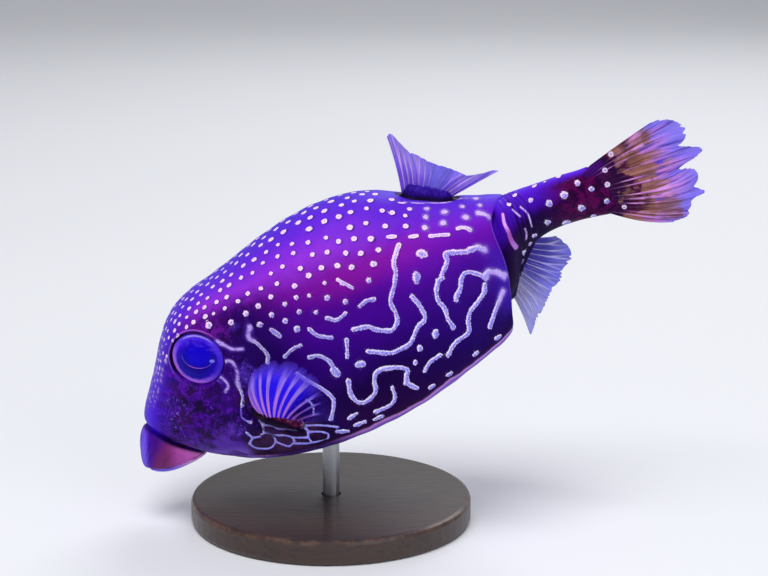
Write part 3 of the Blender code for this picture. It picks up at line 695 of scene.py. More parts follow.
class Fin:
    """A thin closed sheet between a foot line and a free edge, ribbed by rays."""

    def __init__(self, outlines, rays, ragged, thick=0.34, root=0, forks=0.5):
        t = np.linspace(0, 1, rays * RAY_COLUMNS + 1)
        r = np.linspace(0, 1, FIN_ROWS)
        foot, middle, edge = (smooth_line(line, len(t)) for line in outlines)
        self.t, self.r = np.meshgrid(t, r)
        ray = self.t * rays
        lean = 0.22 * np.sin(ray * 2.3 + 1) * self.r
        between = np.abs((ray + lean + 0.5) % 1 - 0.5) * 2
        fork = forks * rise(self.r, 0.38, 1)
        self.ray = np.abs(between - fork)
        number = np.floor(ray + 0.5)
        notch = ragged * (1.2 + np.sin(number * 2.7)) * self.ray ** 1.5
        reach = self.r * (1 - notch * rise(self.r, 0.5, 1))
        shares = (2 * (reach - 0.5) * (reach - 1), 4 * reach * (1 - reach),
                  2 * reach * (reach - 0.5))
        self.flat = sum(a[..., None] * line for a, line in zip(shares, (foot, middle, edge)))
        ripple = 0.32 * np.sin(ray * math.pi) + 0.25 * np.sin(ray * 1.3 + 3 * self.r)
        self.side = ripple * self.r * 0.55
        rib = hump(self.ray, 0, 0.33) * (1 - 0.65 * self.r)
        root_swell = root * np.maximum(0, 1 - self.r / 0.36) ** 2
        self.half = thick * (1 - 0.62 * self.r) * 0.42 + 0.11 * rib + root_swell
        self.half *= np.minimum(1, 12 * np.minimum(self.t, 1 - self.t) + 0.35)

    def dot_offsets(self, points):
        """Offset from the nearest dot of the tail's root, in units of its radius."""
        dots = np.array(TAIL_SPOTS)
        rel = points[:, None, ::2] - dots[None, :, :2]
        nearest = np.linalg.norm(rel, axis=2).argmin(1)
        flat = rel[np.arange(len(points)), nearest] / dots[nearest, 2:]
        return np.clip(np.stack([flat[:, 0], flat[:, 0] * 0, flat[:, 1]], -1), -REACH, REACH)

    def build(self, name, lift=0, turn=None):
        """Lays both faces of the sheet out in space and joins them round the border."""
        rows, columns = self.t.shape
        size = rows * columns
        points, faces, places = [], [], []
        for back in (0, 1):
            y = lift + self.side + (2 * back - 1) * self.half
            points.append(np.stack([self.flat[..., 0], y, self.flat[..., 1]], -1).reshape(-1, 3))
            grid, spots = grid_faces(rows, columns, False, back, back * size)
            faces += grid
            places += [[(u / 2 + back / 2, v) for u, v in face] for face in spots]
        border = ([(0, j) for j in range(columns)] + [(i, columns - 1) for i in range(1, rows)]
                  + [(rows - 1, j) for j in range(columns - 2, -1, -1)]
                  + [(i, 0) for i in range(rows - 2, 0, -1)])
        loop = [i * columns + j for i, j in border]
        for a, b in zip(loop, loop[1:] + loop[:1]):
            faces.append([b, a, a + size, b + size])
            i, j = divmod(a, columns)
            places.append([(j / (columns - 1) / 2, i / (rows - 1))] * 4)
        points = np.concatenate(points)
        stored = {"place": points, "mark": self.dot_offsets(points)}
        stored["mark_gap"] = np.linalg.norm(stored["mark"], axis=1)
        for title, values in (("across", self.t), ("out", self.r), ("ray", self.ray)):
            stored[title] = np.tile(values.ravel(), 2)
        points = turned(points, *turn) if turn else points
        return put_mesh(name, swim(points), faces, places, stored)


def turned(points, hinge, axis, angle):
    """Points turned about a line through the hinge."""
    axis = np.asarray(axis, float) / np.linalg.norm(axis)
    rel = points - np.asarray(hinge, float)
    return (hinge + rel * math.cos(angle) + np.cross(axis, rel) * math.sin(angle)
            + np.outer(rel @ axis, axis) * (1 - math.cos(angle)))


def make_fins():
    dorsal = Fin(DORSAL, 13, 0.03, forks=0.35)
    anal = Fin(ANAL, 12, 0.1)
    tail = Fin(TAIL, 17, 0.05, 0.42, root=1.15)
    pieces = [dorsal.build("dorsal_fin_skin"), anal.build("anal_fin_skin"),
              tail.build("tail_fin_skin", TAIL_SHIFT,
                         ((54, TAIL_SHIFT, 0), (0, 0, 1), math.radians(-22)))]
    for side, name in SIDES:
        fin = Fin(PECTORAL, 10, 0.05, forks=0.3)
        fin.side = fin.side * 0.7 + side * 1.1 * fin.r * (1 - fin.r)
        foot = side * PECTORAL_OUT
        pieces.append(fin.build("pectoral_fin_skin_" + name, foot, (
            (-14, foot, -7.3), (4.7, 0, -6.1), -side * math.radians(24))))
    return pieces


# ---------------------------------------------------------------- shader maths
class Value:
    """A shader socket that Python's operators turn into Math nodes."""

    def __init__(self, paint, socket):
        self.paint, self.socket = paint, socket

    def math(self, operation, *others):
        sockets = dict(enumerate((self,) + others))
        return self.paint.node("Math", {"operation": operation}, sockets)

    def __add__(self, other):
        return self.math("ADD", other)

    def __sub__(self, other):
        return self.math("SUBTRACT", other)

    def __mul__(self, other):
        return self.math("MULTIPLY", other)

    def __truediv__(self, other):
        return self.math("DIVIDE", other)

    def __rsub__(self, other):
        return self.paint.node("Math", {"operation": "SUBTRACT"}, {0: other, 1: self})

    __radd__, __rmul__ = __add__, __mul__

    def sway(self, amount):
        """A noise's swing to both sides of nothing."""
        return (self - 0.5) * amount

    def rise(self, low, high):
        """0 below low, 1 above high, and smooth between; low may be the higher number."""
        if low > high:
            return 1 - self.rise(high, low)
        return self.paint.node("MapRange", {"interpolation_type": "SMOOTHSTEP"},
                               {"Value": self, "From Min": low, "From Max": high})

    def band(self, centre, width):
        """1 at the centre, falling smoothly to 0 a width away on both sides."""
        return (self - centre).math("ABSOLUTE").rise(width, 0)


def reflected(colour):
    """The light that a colour reflects; colours are given as the eye reads them, 0 to 255."""
    light = [((c / 255 + 0.055) / 1.055) ** 2.4 if c > 10 else c / 255 / 12.92 for c in colour]
    return (*light, 1)


class Paint:
    """A material and the nodes that give it its looks."""

    def __init__(self, name):
        self.material = bpy.data.materials.new(name)
        self.material.use_nodes = True
        self.tree = self.material.node_tree
        self.surface = self.tree.nodes["Principled BSDF"]

    def node(self, kind, settings=None, sockets=None, out=0):
        node = self.tree.nodes.new("ShaderNode" + kind)
        for name, value in (settings or {}).items():
            if name == "stops":
                self.set_stops(node.color_ramp, value)
            else:
                setattr(node, name, value)
        for name, value in (sockets or {}).items():
            self.fill(node.inputs[name], value)
        return Value(self, node.outputs[out])

    def fill(self, socket, value):
        if isinstance(value, Value):
            self.tree.links.new(value.socket, socket)
        elif socket.type == "RGBA":
            socket.default_value = reflected(value)
        else:
            socket.default_value = value

    def set_stops(self, ramp, stops):
        while len(ramp.elements) < len(stops):
            ramp.elements.new(1)
        for element, (place, colour) in zip(ramp.elements, stops):
            element.position = place
            element.color = reflected(colour)

    def ramp(self, factor, *stops):
        """A colour that follows a factor through stops of (place, colour)."""
        return self.node("ValToRGB", {"stops": stops}, {"Fac": factor})

    def stored(self, name, vector=False):
        """A value that put_mesh() stored on the piece's points."""
        return self.node("Attribute", {"attribute_name": name}, out="Vector" if vector else "Fac")

    def parts(self, vector):
        split = self.node("SeparateXYZ", None, {0: vector})
        return [Value(self, output) for output in split.socket.node.outputs]

    def vector(self, operation, *others, out=0):
        return self.node("VectorMath", {"operation": operation}, dict(enumerate(others)), out)

    def scaled(self, vector, factors):
        return self.vector("MULTIPLY", vector, factors)

    def length(self, vector):
        return self.vector("LENGTH", vector, out="Value")

    def gap(self, vector, place):
        """How far a vector lies from a place."""
        return self.vector("DISTANCE", vector, place, out="Value")

    def millimetres(self):
        """Places in the object's own axes."""
        return self.scaled(self.node("TexCoord", out="Object"), (1 / MM,) * 3)

    def patches(self, place, spots, fray):
        """How far inside any of the soft patches (s, h, radius) a place is, seen from the side."""
        share = None
        for s, h, radius in spots:
            gap = self.gap(self.scaled(place, (1, 0, 1)), (s, 0, h))
            inside = (gap + fray).rise(radius, radius * 0.4)
            share = share.math("MAXIMUM", inside) if share else inside
        return share

    def fin_places(self):
        """A fin's places: off the nearest ray, out from its foot, across from its first side."""
        return [self.stored(name) for name in ("ray", "out", "across")]

    def along_rays(self, across, out, rough, wide):
        """Noise drawn out along a fin's rays: fine streaks, wide ones, and its places."""
        place = self.node("CombineXYZ", None, {0: across, 1: out})
        return self.noise(place, 1, 3, rough), self.noise(place, wide, 2, 0.5), place

    def noise(self, place, scale, detail=2, rough=0.5, warp=0):
        return self.node("TexNoise", None, {
            "Vector": place, "Scale": scale, "Detail": detail, "Roughness": rough,
            "Distortion": warp})

    def cells(self, place, scale, feature="F1"):
        return self.node("TexVoronoi", {"feature": feature}, {"Vector": place, "Scale": scale})

    def mix(self, under, over, share):
        """One colour over another; sockets 0, 6 and 7 are the share and the two colours."""
        return self.node("Mix", {"data_type": "RGBA"}, {0: share, 6: under, 7: over}, 2)

    def coats(self, colour, *coats):
        """A colour under coats of other ones, each with the share that it covers."""
        for coat, share in coats:
            colour = self.mix(colour, coat, share)
        return colour

    def bump(self, height, distance, under=None):
        """Relief in the shading, a distance in metres deep, over another one."""
        sockets = {"Height": height, "Distance": distance}
        if under is not None:
            sockets["Normal"] = under
        return self.node("Bump", None, sockets)

    def finish(self, **sockets):
        """Sets the shader's own sockets, by names with _ for a space."""
        for name, value in sockets.items():
            self.fill(self.surface.inputs[name.replace("_", " ")], value)
        return self.material


# ---------------------------------------------------------------- finishes
SHEEN = (150, 104, 255)


def ground(p):
    """The shell's colours from the belly up to the back, in front and behind; partly its own
    colours and partly painted light: painted shade darkens the flank under the upper ridge and a
    painted sheen turns the back blue-violet.
    """
    s, girth, blotch = p.s, p.girth, p.blotch
    level = (girth + 2) / 3 + blotch.sway(0.05)
    front = p.ramp(level, (0, (170, 150, 226)), (0.23, (132, 104, 206)), (0.288, (116, 80, 188)),
                   (0.304, (196, 132, 216)), (0.315, (34, 6, 52)), (0.4, (20, 1, 58)),
                   (0.45, (46, 2, 114)), (0.52, (64, 3, 138)), (0.6, (72, 3, 136)),
                   (0.66, (110, 14, 150)), (0.75, (142, 44, 212)), (0.84, (102, 38, 216)),
                   (0.97, (76, 34, 214)))
    rear = p.ramp(level, (0, (170, 150, 226)), (0.23, (132, 104, 206)), (0.288, (116, 80, 192)),
                  (0.304, (196, 140, 226)), (0.315, (34, 6, 64)), (0.36, (24, 3, 80)),
                  (0.44, (42, 3, 112)), (0.54, (68, 6, 142)), (0.63, (104, 14, 170)),
                  (0.7, (116, 30, 198)), (0.8, (98, 36, 206)), (0.9, (84, 38, 206)),
                  (0.98, (76, 38, 206)))
    body = p.mix(front, rear, (s + blotch.sway(12)).rise(6, 20))
    red_band = (girth - (s - 8) * 0.006).band(-0.06, 0.24)
    return p.mix(body, (138, 20, 150), red_band * s.rise(-2, 8) * s.rise(29, 17) * 0.55)


def head_coats(p, body):
    """The mottled cheek and snout, with pale grains, a dark jaw and painted shade on the flank
    below the upper ridge behind the eye.
    """
    place, s, girth = p.place, p.s, p.girth
    blotch, mottle, ragged, swell = p.blotch, p.mottle, p.ragged, p.swell
    cheek = p.mix((68, 2, 146), (26, 0, 62), mottle.rise(0.42, 0.56))
    jaw = (girth + mottle.sway(0.45)).rise(-0.68, -0.9) * s.rise(-33, -29.5)
    upper = (girth - (s + 28) * 0.03 + mottle.sway(0.9)).rise(-0.4, 0.4)
    snout = p.mix(cheek, (74, 12, 230), upper)
    face = (s - girth * 2.6 + blotch.sway(7)).rise(-17.5, -25)
    # painted shade on the flank below the upper ridge, behind the eye
    shade_below_ridge = (girth + mottle.sway(0.5)).rise(0.22, -0.08) * s.rise(-1, -10)
    shadow = mottle.rise(0.5, 0.66) * girth.rise(0.15, -0.25) * s.rise(-6, -13)
    speckle = p.cells(p.vector("ADD", place, p.noise(place, 1.5)), 1.5)
    blots = p.noise(place, 0.3, 3, 0.6).rise(0.44, 0.6)
    clouds = p.noise(place, 0.42, 2, 0.6, 1.5)
    on_head = s.rise(-12, -18) * girth.rise(0.35, -0.1) * girth.rise(-1, -0.9)
    grit = p.noise(place, 1.7, 2, 0.7, 1.2).rise(0.58, 0.64)
    cluster = p.patches(place, GRAINS, swell.sway(3))
    flush = p.patches(place, ((-16.2, 10.4, 3.4),), swell.sway(2) + ragged.sway(1.5))
    jaw = jaw * s.rise(-20, -22.5) * (0.4 + blots)
    chin = p.mix((92, 50, 180), (138, 100, 216), girth.rise(-0.9, -1))
    return p.coats(
        body,
        (snout, face),
        ((84, 34, 212), s.rise(-13, -20) * girth.rise(0.15, 0.5) * 0.75),
        ((28, 1, 84), shade_below_ridge * s.rise(-21, -16) * 0.9),
        ((16, 2, 34), shadow * 0.7),
        ((112, 34, 208),
         speckle.rise(0.34, 0.14) * blots * s.rise(-12, -19) * girth.rise(0.5, 0) * 0.85),
        ((94, 18, 178), clouds.rise(0.53, 0.66) * mottle.rise(0.6, 0.4) * on_head * 0.8),
        ((14, 1, 30), clouds.rise(0.43, 0.32) * on_head * s.rise(-31, -28) * 0.6),
        ((58, 6, 62), blotch.rise(0.5, 0.62) * mottle.rise(0.42, 0.56) * on_head * 0.6),
        ((86, 48, 190), cluster * mottle.rise(0.4, 0.6) * s.rise(-25, -18) * 0.6),
        ((126, 88, 250), cluster * grit * 0.75),
        ((112, 22, 150), flush * mottle.rise(0.6, 0.4) * 0.8),
        (chin, jaw * 0.6))


def belly_coats(p, body):
    """A faint net of lines on the belly, and dark plates over the lower ridge."""
    place, s, girth, row, blotch = p.place, p.s, p.girth, p.row, p.blotch
    swirl = p.node("TexNoise", None, {"Vector": place, "Scale": 0.35}, "Color")
    warped = p.vector("ADD", place, p.scaled(swirl, (1.5, 1.5, 1.5)))
    edge = p.cells(warped, 0.3, "DISTANCE_TO_EDGE")
    p.comb = girth.rise(-0.8, -0.9) * girth.rise(-1.12, -1.02)
    p.comb = p.comb * s.rise(-5, -8) * s.rise(-23.5, -20.5)
    plates = p.mix((20, 5, 32), (58, 32, 62), blotch.rise(0.4, 0.6))
    under = girth.rise(-1.1, -1.25) * row.rise(21.5, 20) * row.rise(8, 10)
    net = (edge + p.grain.sway(0.05)).rise(0.09, 0.03)
    body = p.mix(body, plates, p.comb * 0.9)
    return p.mix(body, (120, 96, 190), net * under * 0.5)


def stalk_coats(p, body):
    """The shell's rear rim with painted shade inside it, and the stalk with painted shade in its
    wrinkles, painted glints and a pink arc.
    """
    s, h, girth, row, blotch, grain = p.s, p.h, p.girth, p.row, p.blotch, p.grain
    stalk = p.ramp((girth + 2) / 3, (0, (14, 2, 30)), (0.36, (20, 2, 44)), (0.49, (32, 3, 66)),
                   (0.58, (62, 8, 160)), (0.8, (84, 22, 206)), (1, (100, 50, 226)))
    maroon = (girth + blotch.sway(0.4)).rise(0.6, 0.05) * (s + blotch.sway(5)).rise(42, 47)
    wine = p.mix((84, 4, 70), (40, 1, 44), p.mottle.rise(0.42, 0.58))
    stalk = p.mix(stalk, wine, maroon)
    rim = (row + grain.sway(0.4)).band(20.1, 0.22) * girth.rise(0.1, -0.1)
    crease = row - ((girth + 0.45) * 1.15).math("COSINE") * 0.95 + 0.3
    wrinkle_shade = crease.band(26.25, 0.14)
    for turn in (25.5, 25.85, 26.62, 26.95, 27.3):
        wrinkle_shade = wrinkle_shade.math("MAXIMUM", crease.band(turn, 0.09) * (0.75 if turn > 26 else 0.45))
    arc = (p.stored("arc") + grain.sway(0.16) + (h + 1) * 0.03).rise(0.42, 0.24)
    pink = p.mix((184, 122, 218), (158, 80, 172), h.rise(-3.4, -1.6))
    pink = p.mix(pink, (228, 156, 255), h.rise(-1, 0.8))
    return p.coats(
        body,
        (stalk, row.rise(23, 24.4)),
        # painted shade inside the shell's rim, where the stalk goes in
        ((8, 1, 22), row.band(22.6, 1.3) * 0.9),
        ((124, 88, 226), rim * girth.rise(-0.95, -0.75) * 0.75),
        ((64, 34, 186),
         row.band(19.4, 1.5) * girth.rise(-0.15, -0.5) * girth.rise(-0.95, -0.8) * 0.5),
        # painted shade in the creases of the wrinkles
        ((10, 1, 30), wrinkle_shade * 0.85 * row.rise(24, 25)),
        # painted glints on the folds
        ((206, 176, 250), (p.stored("glint") + grain.sway(0.14)).rise(0.22, 0.06)),
        (pink, arc))


def mark_coats(p, body):
    """Pale sandy marks with a painted highlight on their upper side, at their edges and higher up
    the body, and a painted shadow just under them on the flank; on the head and the rear edge they
    blur into a haze.
    """
    place, s, h, girth, row = p.place, p.s, p.h, p.girth, p.row
    ragged, swell, gap = p.ragged, p.swell, p.stored("mark_gap")
    offset = p.stored("mark", True)
    # lean: how far a point lies on the upper side of its mark; it places painted highlight and
    # painted shadow
    lean = p.vector("DOT_PRODUCT", offset, (-0.26, 0, 0.97), out="Value")
    sand = p.cells(place, 3.6).rise(0.5, 0.15)
    calm = 1 - girth.rise(-0.15, 0.2) * 0.65
    mark = p.length(offset) + (ragged.sway(1.2) + swell.sway(1.1)) * calm
    near = gap.rise(1.32, 1.14)
    head = s.rise(-12, -14.5).math("MAXIMUM", h.rise(5.6, 6.6) * s.rise(-9.7, -10.2))
    head = head * h.rise(10.2, 9.4) * h.rise(-0.8, 1.6)
    hazy = head.math("MAXIMUM", (s - girth * 3).rise(29, 31.5) * row.rise(24, 23) * 0.8)
    hazy = hazy * girth.rise(0.25, 0.1) * girth.rise(-0.95, -0.8)
    hazy = hazy.math("MAXIMUM",
                     s.rise(21.5, 25) * girth.rise(0.02, 0.2) * row.rise(22, 20.5) * 0.55)
    gritty = p.noise(place, 6.5, 2, 0.8)
    spread = gap + gritty.sway(1.6) + ragged.sway(1.4) + swell.sway(1.6)
    soft = spread.rise(2.1, 0.3)
    pale = (mark - sand * 0.2).rise(0.98, 0.76) * (1 - hazy) * near + soft * hazy * 0.85
    halo = p.cells(place, 3.4).rise(0.3, 0.14) * gap.rise(2.2, 1.2)
    inner = p.mix((112, 100, 218), (216, 196, 250), (sand + gritty.sway(1.5)).rise(0.1, 0.7))
    # painted highlight: marks lighter on their upper side, at their edges and higher up the body
    lit = lean.math("ABSOLUTE") * 0.25 + lean * 0.75 + gritty.sway(2.6)
    lit = lit + (girth + 0.05).rise(-0.2, 0.35) * 1.1 + mark.rise(0.45, 0.85) * 0.55
    rosy = p.mix((236, 228, 255), (255, 222, 250), (girth + 0.4 + swell.sway(1)).rise(-0.3, 0.3))
    light = p.mix(inner, rosy, lit.rise(-0.1, 0.6))
    lilac = p.mix((122, 64, 204), (206, 178, 255), (spread + gritty.sway(1.2)).rise(1.5, 0.3))
    haze = gap.rise(3.6, 1) * hazy * ragged.rise(0.35, 0.6)
    p.pale = pale * row.rise(5.6, 6.4) * p.stored("eye_gap").rise(1.06, 1.1)
    body = p.coats(
        body,
        ((150, 104, 226), halo * swell.rise(0.45, 0.62) * row.rise(6, 7) * 0.6),
        # painted shadow just under each mark's lower side on the flank
        ((20, 2, 60), gap.rise(1.9, 1.1) * lean.rise(0.1, -0.9) * girth.rise(-0.3, 0.2) * 0.6),
        ((92, 48, 186), haze * 0.6))
    light = p.coats(
        light,
        ((132, 126, 230), (mark + gritty.sway(1)).rise(0.62, 0.2) * 0.42),
        (lilac, hazy * 0.9),
        ((104, 60, 214), (s + swell.sway(6)).rise(-28.5, -32.5) * 0.6),
        ((92, 64, 240), h.rise(-2.6, -3.4) * h.rise(-5.8, -5.4) * s.rise(-18.5, -19) * 0.75),
        ((122, 112, 248), p.comb * 0.55))
    return p.mix(body, light, p.pale)


def lip_coats(p, body):
    """Wine-coloured lips with a blue front edge of painted rim light, pink corners and creases in
    the middle, and painted shadow in the mouth's grooves.
    """
    s, h, row, grain = p.s, p.h, p.row, p.grain
    lips = p.mix((64, 14, 124), (118, 42, 104), (h - s * 0.62).rise(20.2, 17))
    ahead = s * 0.866 - h * 0.5 + grain.sway(0.4)
    creases = p.noise(p.scaled(p.place, (0.35, 2.2, 0.35)), 1, 3, 0.7)
    centre = p.y.math("ABSOLUTE").rise(3.4, 1.6)
    below = p.stored("under_lip")
    rim = p.mix((126, 104, 250), (238, 186, 255), s.rise(-38, -33.5))
    lips = p.coats(
        lips,
        ((214, 98, 206), (s - h * 0.75 + grain.sway(1)).rise(-32.8, -27.6)),
        # painted rim light: the blue front edge, deep then bright
        ((70, 14, 176), ahead.rise(-30.7, -32.4) * 0.7),
        ((124, 92, 255), ahead.rise(-31.9, -33.1) * 0.9),
        ((104, 36, 170), creases.rise(0.42, 0.6) * centre * 0.8),
        ((40, 10, 120), creases.rise(0.5, 0.36) * centre * 0.6),
        ((255, 146, 238), (s + h * 0.2 + grain.sway(1)).rise(-36.2, -33.2) * 0.9),
        ((255, 178, 255), (s + h * 0.2 + grain.sway(1)).rise(-34.2, -32.2) * 0.9),
        (rim, (below + grain.sway(0.3)).rise(0.05, 0.3) * 0.9),
        # painted shadow in the groove between the lips
        ((30, 8, 60), below.band(0, 0.16) * 0.7),
        ((30, 8, 40), grain.rise(0.35, 0.2) * 0.2))
    body = p.mix(body, lips, row.rise(5, 4.3))
    # painted shadow in the groove where the mouth meets the shell underneath
    return p.mix(body, (16, 4, 40), row.band(4.9, 0.75) * p.girth.rise(-1.75, -1.2) * 0.8)


def root_coats(p, body):
    """The fins' fleshy roots with painted shade in their moats and under the pectoral root, the
    rims of the eyes with painted shadow in the gap round each eye, and the gill openings in
    painted shade.
    """
    place, s, h, grain = p.place, p.s, p.h, p.grain
    pectoral, knot = p.stored("pad_pectoral"), p.noise(place, 1.3, 2, 0.6)
    fleshy = p.mix((24, 2, 26), (78, 16, 46), knot.rise(0.36, 0.5))
    fleshy = p.coats(
        fleshy,
        ((190, 120, 168), (knot + grain.sway(0.2)).rise(0.62, 0.72)),
        # painted shadow in the hollow under the pectoral root
        ((10, 1, 16), (h + s * 1.15 + 25.4).rise(2.1, 1.2) * 0.95))
    dorsal = p.stored("pad_dorsal")
    # painted shade: the dorsal pad's moat near black round the pad
    slot = p.mix((8, 1, 28), (36, 8, 120), dorsal.rise(1.9, 1.5))
    crinkle = p.noise(p.scaled(place, (1, 1, 0.4)), 2.4, 3, 0.7, 0.8)
    gap = p.stored("eye_gap")
    above = h * 0.94 - s * 0.34
    return p.coats(
        body,
        (fleshy, pectoral.rise(1.4, 1.1)),
        # painted shade in the pectoral pad's moat
        ((10, 2, 26), pectoral.band(1.45, 0.3) * 0.9),
        (slot, dorsal.rise(2.95, 2.65)),
        ((84, 46, 206), dorsal.rise(1.9, 1.2) * crinkle.rise(0.45, 0.65) * 0.7),
        ((30, 6, 66), p.stored("pad_anal").rise(1.8, 1.2) * 0.85),
        ((168, 96, 214), gap.band(1.16, 0.035) * above.rise(13.6, 17.6) * 0.9),
        # painted shadow in the gap round each eye, wider over its top
        ((8, 2, 22), (gap + above.rise(18, 13) * 0.08).rise(1.12, 1.08)),
        # painted shade in the gill slit
        ((12, 3, 34), p.stored("gill").rise(0.35, 0.1) * 0.8))


def paint_skin():
    p = Paint("boxfish skin")
    place = p.place = p.stored("place", True)
    p.s, p.y, p.h = p.parts(place)
    p.girth, p.row = p.stored("girth"), p.stored("row")
    p.blotch, p.mottle = p.noise(place, 0.16, 3, 0.6), p.noise(place, 0.55, 4, 0.75, 0.6)
    p.swell, p.ragged = p.noise(place, 0.8, 1), p.noise(place, 5, 3, 0.7)
    p.grain = p.noise(place, 2.6, 3, 0.65)
    body = ground(p)
    for coats in (head_coats, belly_coats, stalk_coats, mark_coats, lip_coats, root_coats):
        body = coats(p, body)
    plates = p.cells(place, 0.36, "DISTANCE_TO_EDGE")
    shell = p.row.rise(8, 10) * p.row.rise(22, 20.5)
    relief = p.bump(plates.rise(0, 0.2) * shell, 0.02 * MM)
    relief = p.bump(p.pale, 0.04 * MM, relief)
    relief = p.bump(p.grain + p.noise(place, 7, 2) * 0.4, 0.09 * MM, relief)
    rough = 0.34 + p.grain * 0.22 + p.pale * 0.12
    return p.finish(Base_Color=body, Roughness=rough, Normal=relief, Coat_Weight=0.02,
                    Coat_Roughness=0.15, Specular_IOR_Level=0.15, Specular_Tint=SHEEN)


def paint_eye():
    p = Paint("boxfish eye")
    dome = p.stored("dome", True)
    x, y, _ = p.parts(dome)
    away = p.length(p.scaled(dome, (1, 1.06, 0)))
    middle = p.vector("ADD", dome, (-0.4, -0.45, 0))
    inside = p.length(p.scaled(middle, (0.96, 1.06, 0)))
    streak = p.noise(dome, 1.3, 3, 0.6, 0.4)
    soft = p.noise(p.scaled(dome, (0.5, 1.2, 0)), 0.9, 2, 0.5, 0.6)
    pupil = p.mix((16, 1, 196), (14, 1, 130), (inside - y * 0.3).rise(1.2, 3))
    iris = p.mix((20, 0, 162), (56, 18, 216), (y - x * 0.2 + streak * 1.8).rise(0.8, 3.8))
    iris = p.mix(iris, (36, 8, 196), x.rise(0.5, 3) * 0.7)
    colour = p.mix(pupil, iris, (inside + streak.sway(1.2)).rise(1.9, 3.9))
    # painted reflection: a pale haze over the upper iris
    haze = (soft - 0.5 + away * 0.03).rise(0, 0.3) * (y + x * 0.3).rise(0.8, 3)
    # painted highlight: the outer ring lighter toward the lower front
    lit = (y * -0.8 - x * 0.6).rise(-1.5, 3.6)
    ring = p.mix((96, 60, 234), (180, 104, 255), lit)
    # painted reflection along the top edge of the eye
    top_reflection = (away + streak * 0.3).band(4.5, 0.24) * y.rise(2.8, 4)
    middle = p.vector("ADD", dome, (-0.4, -0.7, 0))
    bow = p.length(p.scaled(middle, (0.92, 1.3, 0)))
    # painted reflection: a pale crescent under the pupil
    crescent_reflection = (bow + streak * 0.15).band(2.75, 0.14) * (y * -1 - x * 0.14).rise(-0.55, 0.3)
    glint = p.mix((104, 76, 240), (214, 116, 228), x.math("ABSOLUTE").rise(1.9, 0.7))
    # painted highlight: a bright spot near the eye's rear edge
    tip = p.gap(p.scaled(dome, (1, 1.4, 0)), (3, 0.1, 0))
    colour = p.coats(
        colour,
        ((98, 66, 232), haze * 0.38),
        (ring, (away + streak.sway(0.7)).rise(3.5, 4.3) * (lit * 0.6 + 0.4)),
        ((206, 178, 224), top_reflection * 0.55),
        (glint, crescent_reflection * 0.7),
        ((142, 136, 255), tip.rise(0.55, 0.2) * 0.8),
        # painted shade on the eye's edge, down in its socket
        ((10, 3, 34), away.rise(4.72, 4.85)))
    return p.finish(Base_Color=colour, Roughness=0.3, Coat_Weight=0.06, Coat_Roughness=0.06,
                    Specular_IOR_Level=0.1, Specular_Tint=SHEEN)


def paint_fin(name, membrane, edge, rays, clear):
    """Stiff pale rays, frayed into finer streaks, in a thin membrane."""
    p = Paint(name)
    ray, out, across = p.fin_places()
    streak, wide, _ = p.along_rays(across * 70, out * 1.7, 0.65, 0.3)
    colour = p.mix(membrane, edge, (out + wide.sway(0.8)).rise(0.35, 0.9))
    on_ray = (ray + streak.sway(0.5)).rise(0.3, 0.05) * (wide * 2.4 - 0.45)
    on_ray = on_ray.math("MAXIMUM", streak.rise(0.54, 0.7) * (wide * 2.2 - 0.4))
    alpha = out * (clear[1] - clear[0]) + clear[0] + on_ray * 0.35 + streak.sway(0.35)
    alpha = alpha.math("MAXIMUM", out.rise(0.3, 0.1)).math("MINIMUM", 1)
    colour = p.coats(
        colour,
        ((24, 10, 90), streak.rise(0.52, 0.34) * 0.7),
        (rays, on_ray.math("MINIMUM", 1) * out.rise(1.25, 0.6)))
    return p, colour, alpha, p.bump(on_ray + streak * 0.5, 0.12 * MM)


def finish_fin(p, colour, alpha, relief):
    return p.finish(Base_Color=colour, Alpha=alpha, Normal=relief, Roughness=0.45,
                    Specular_IOR_Level=0.4, Specular_Tint=SHEEN)


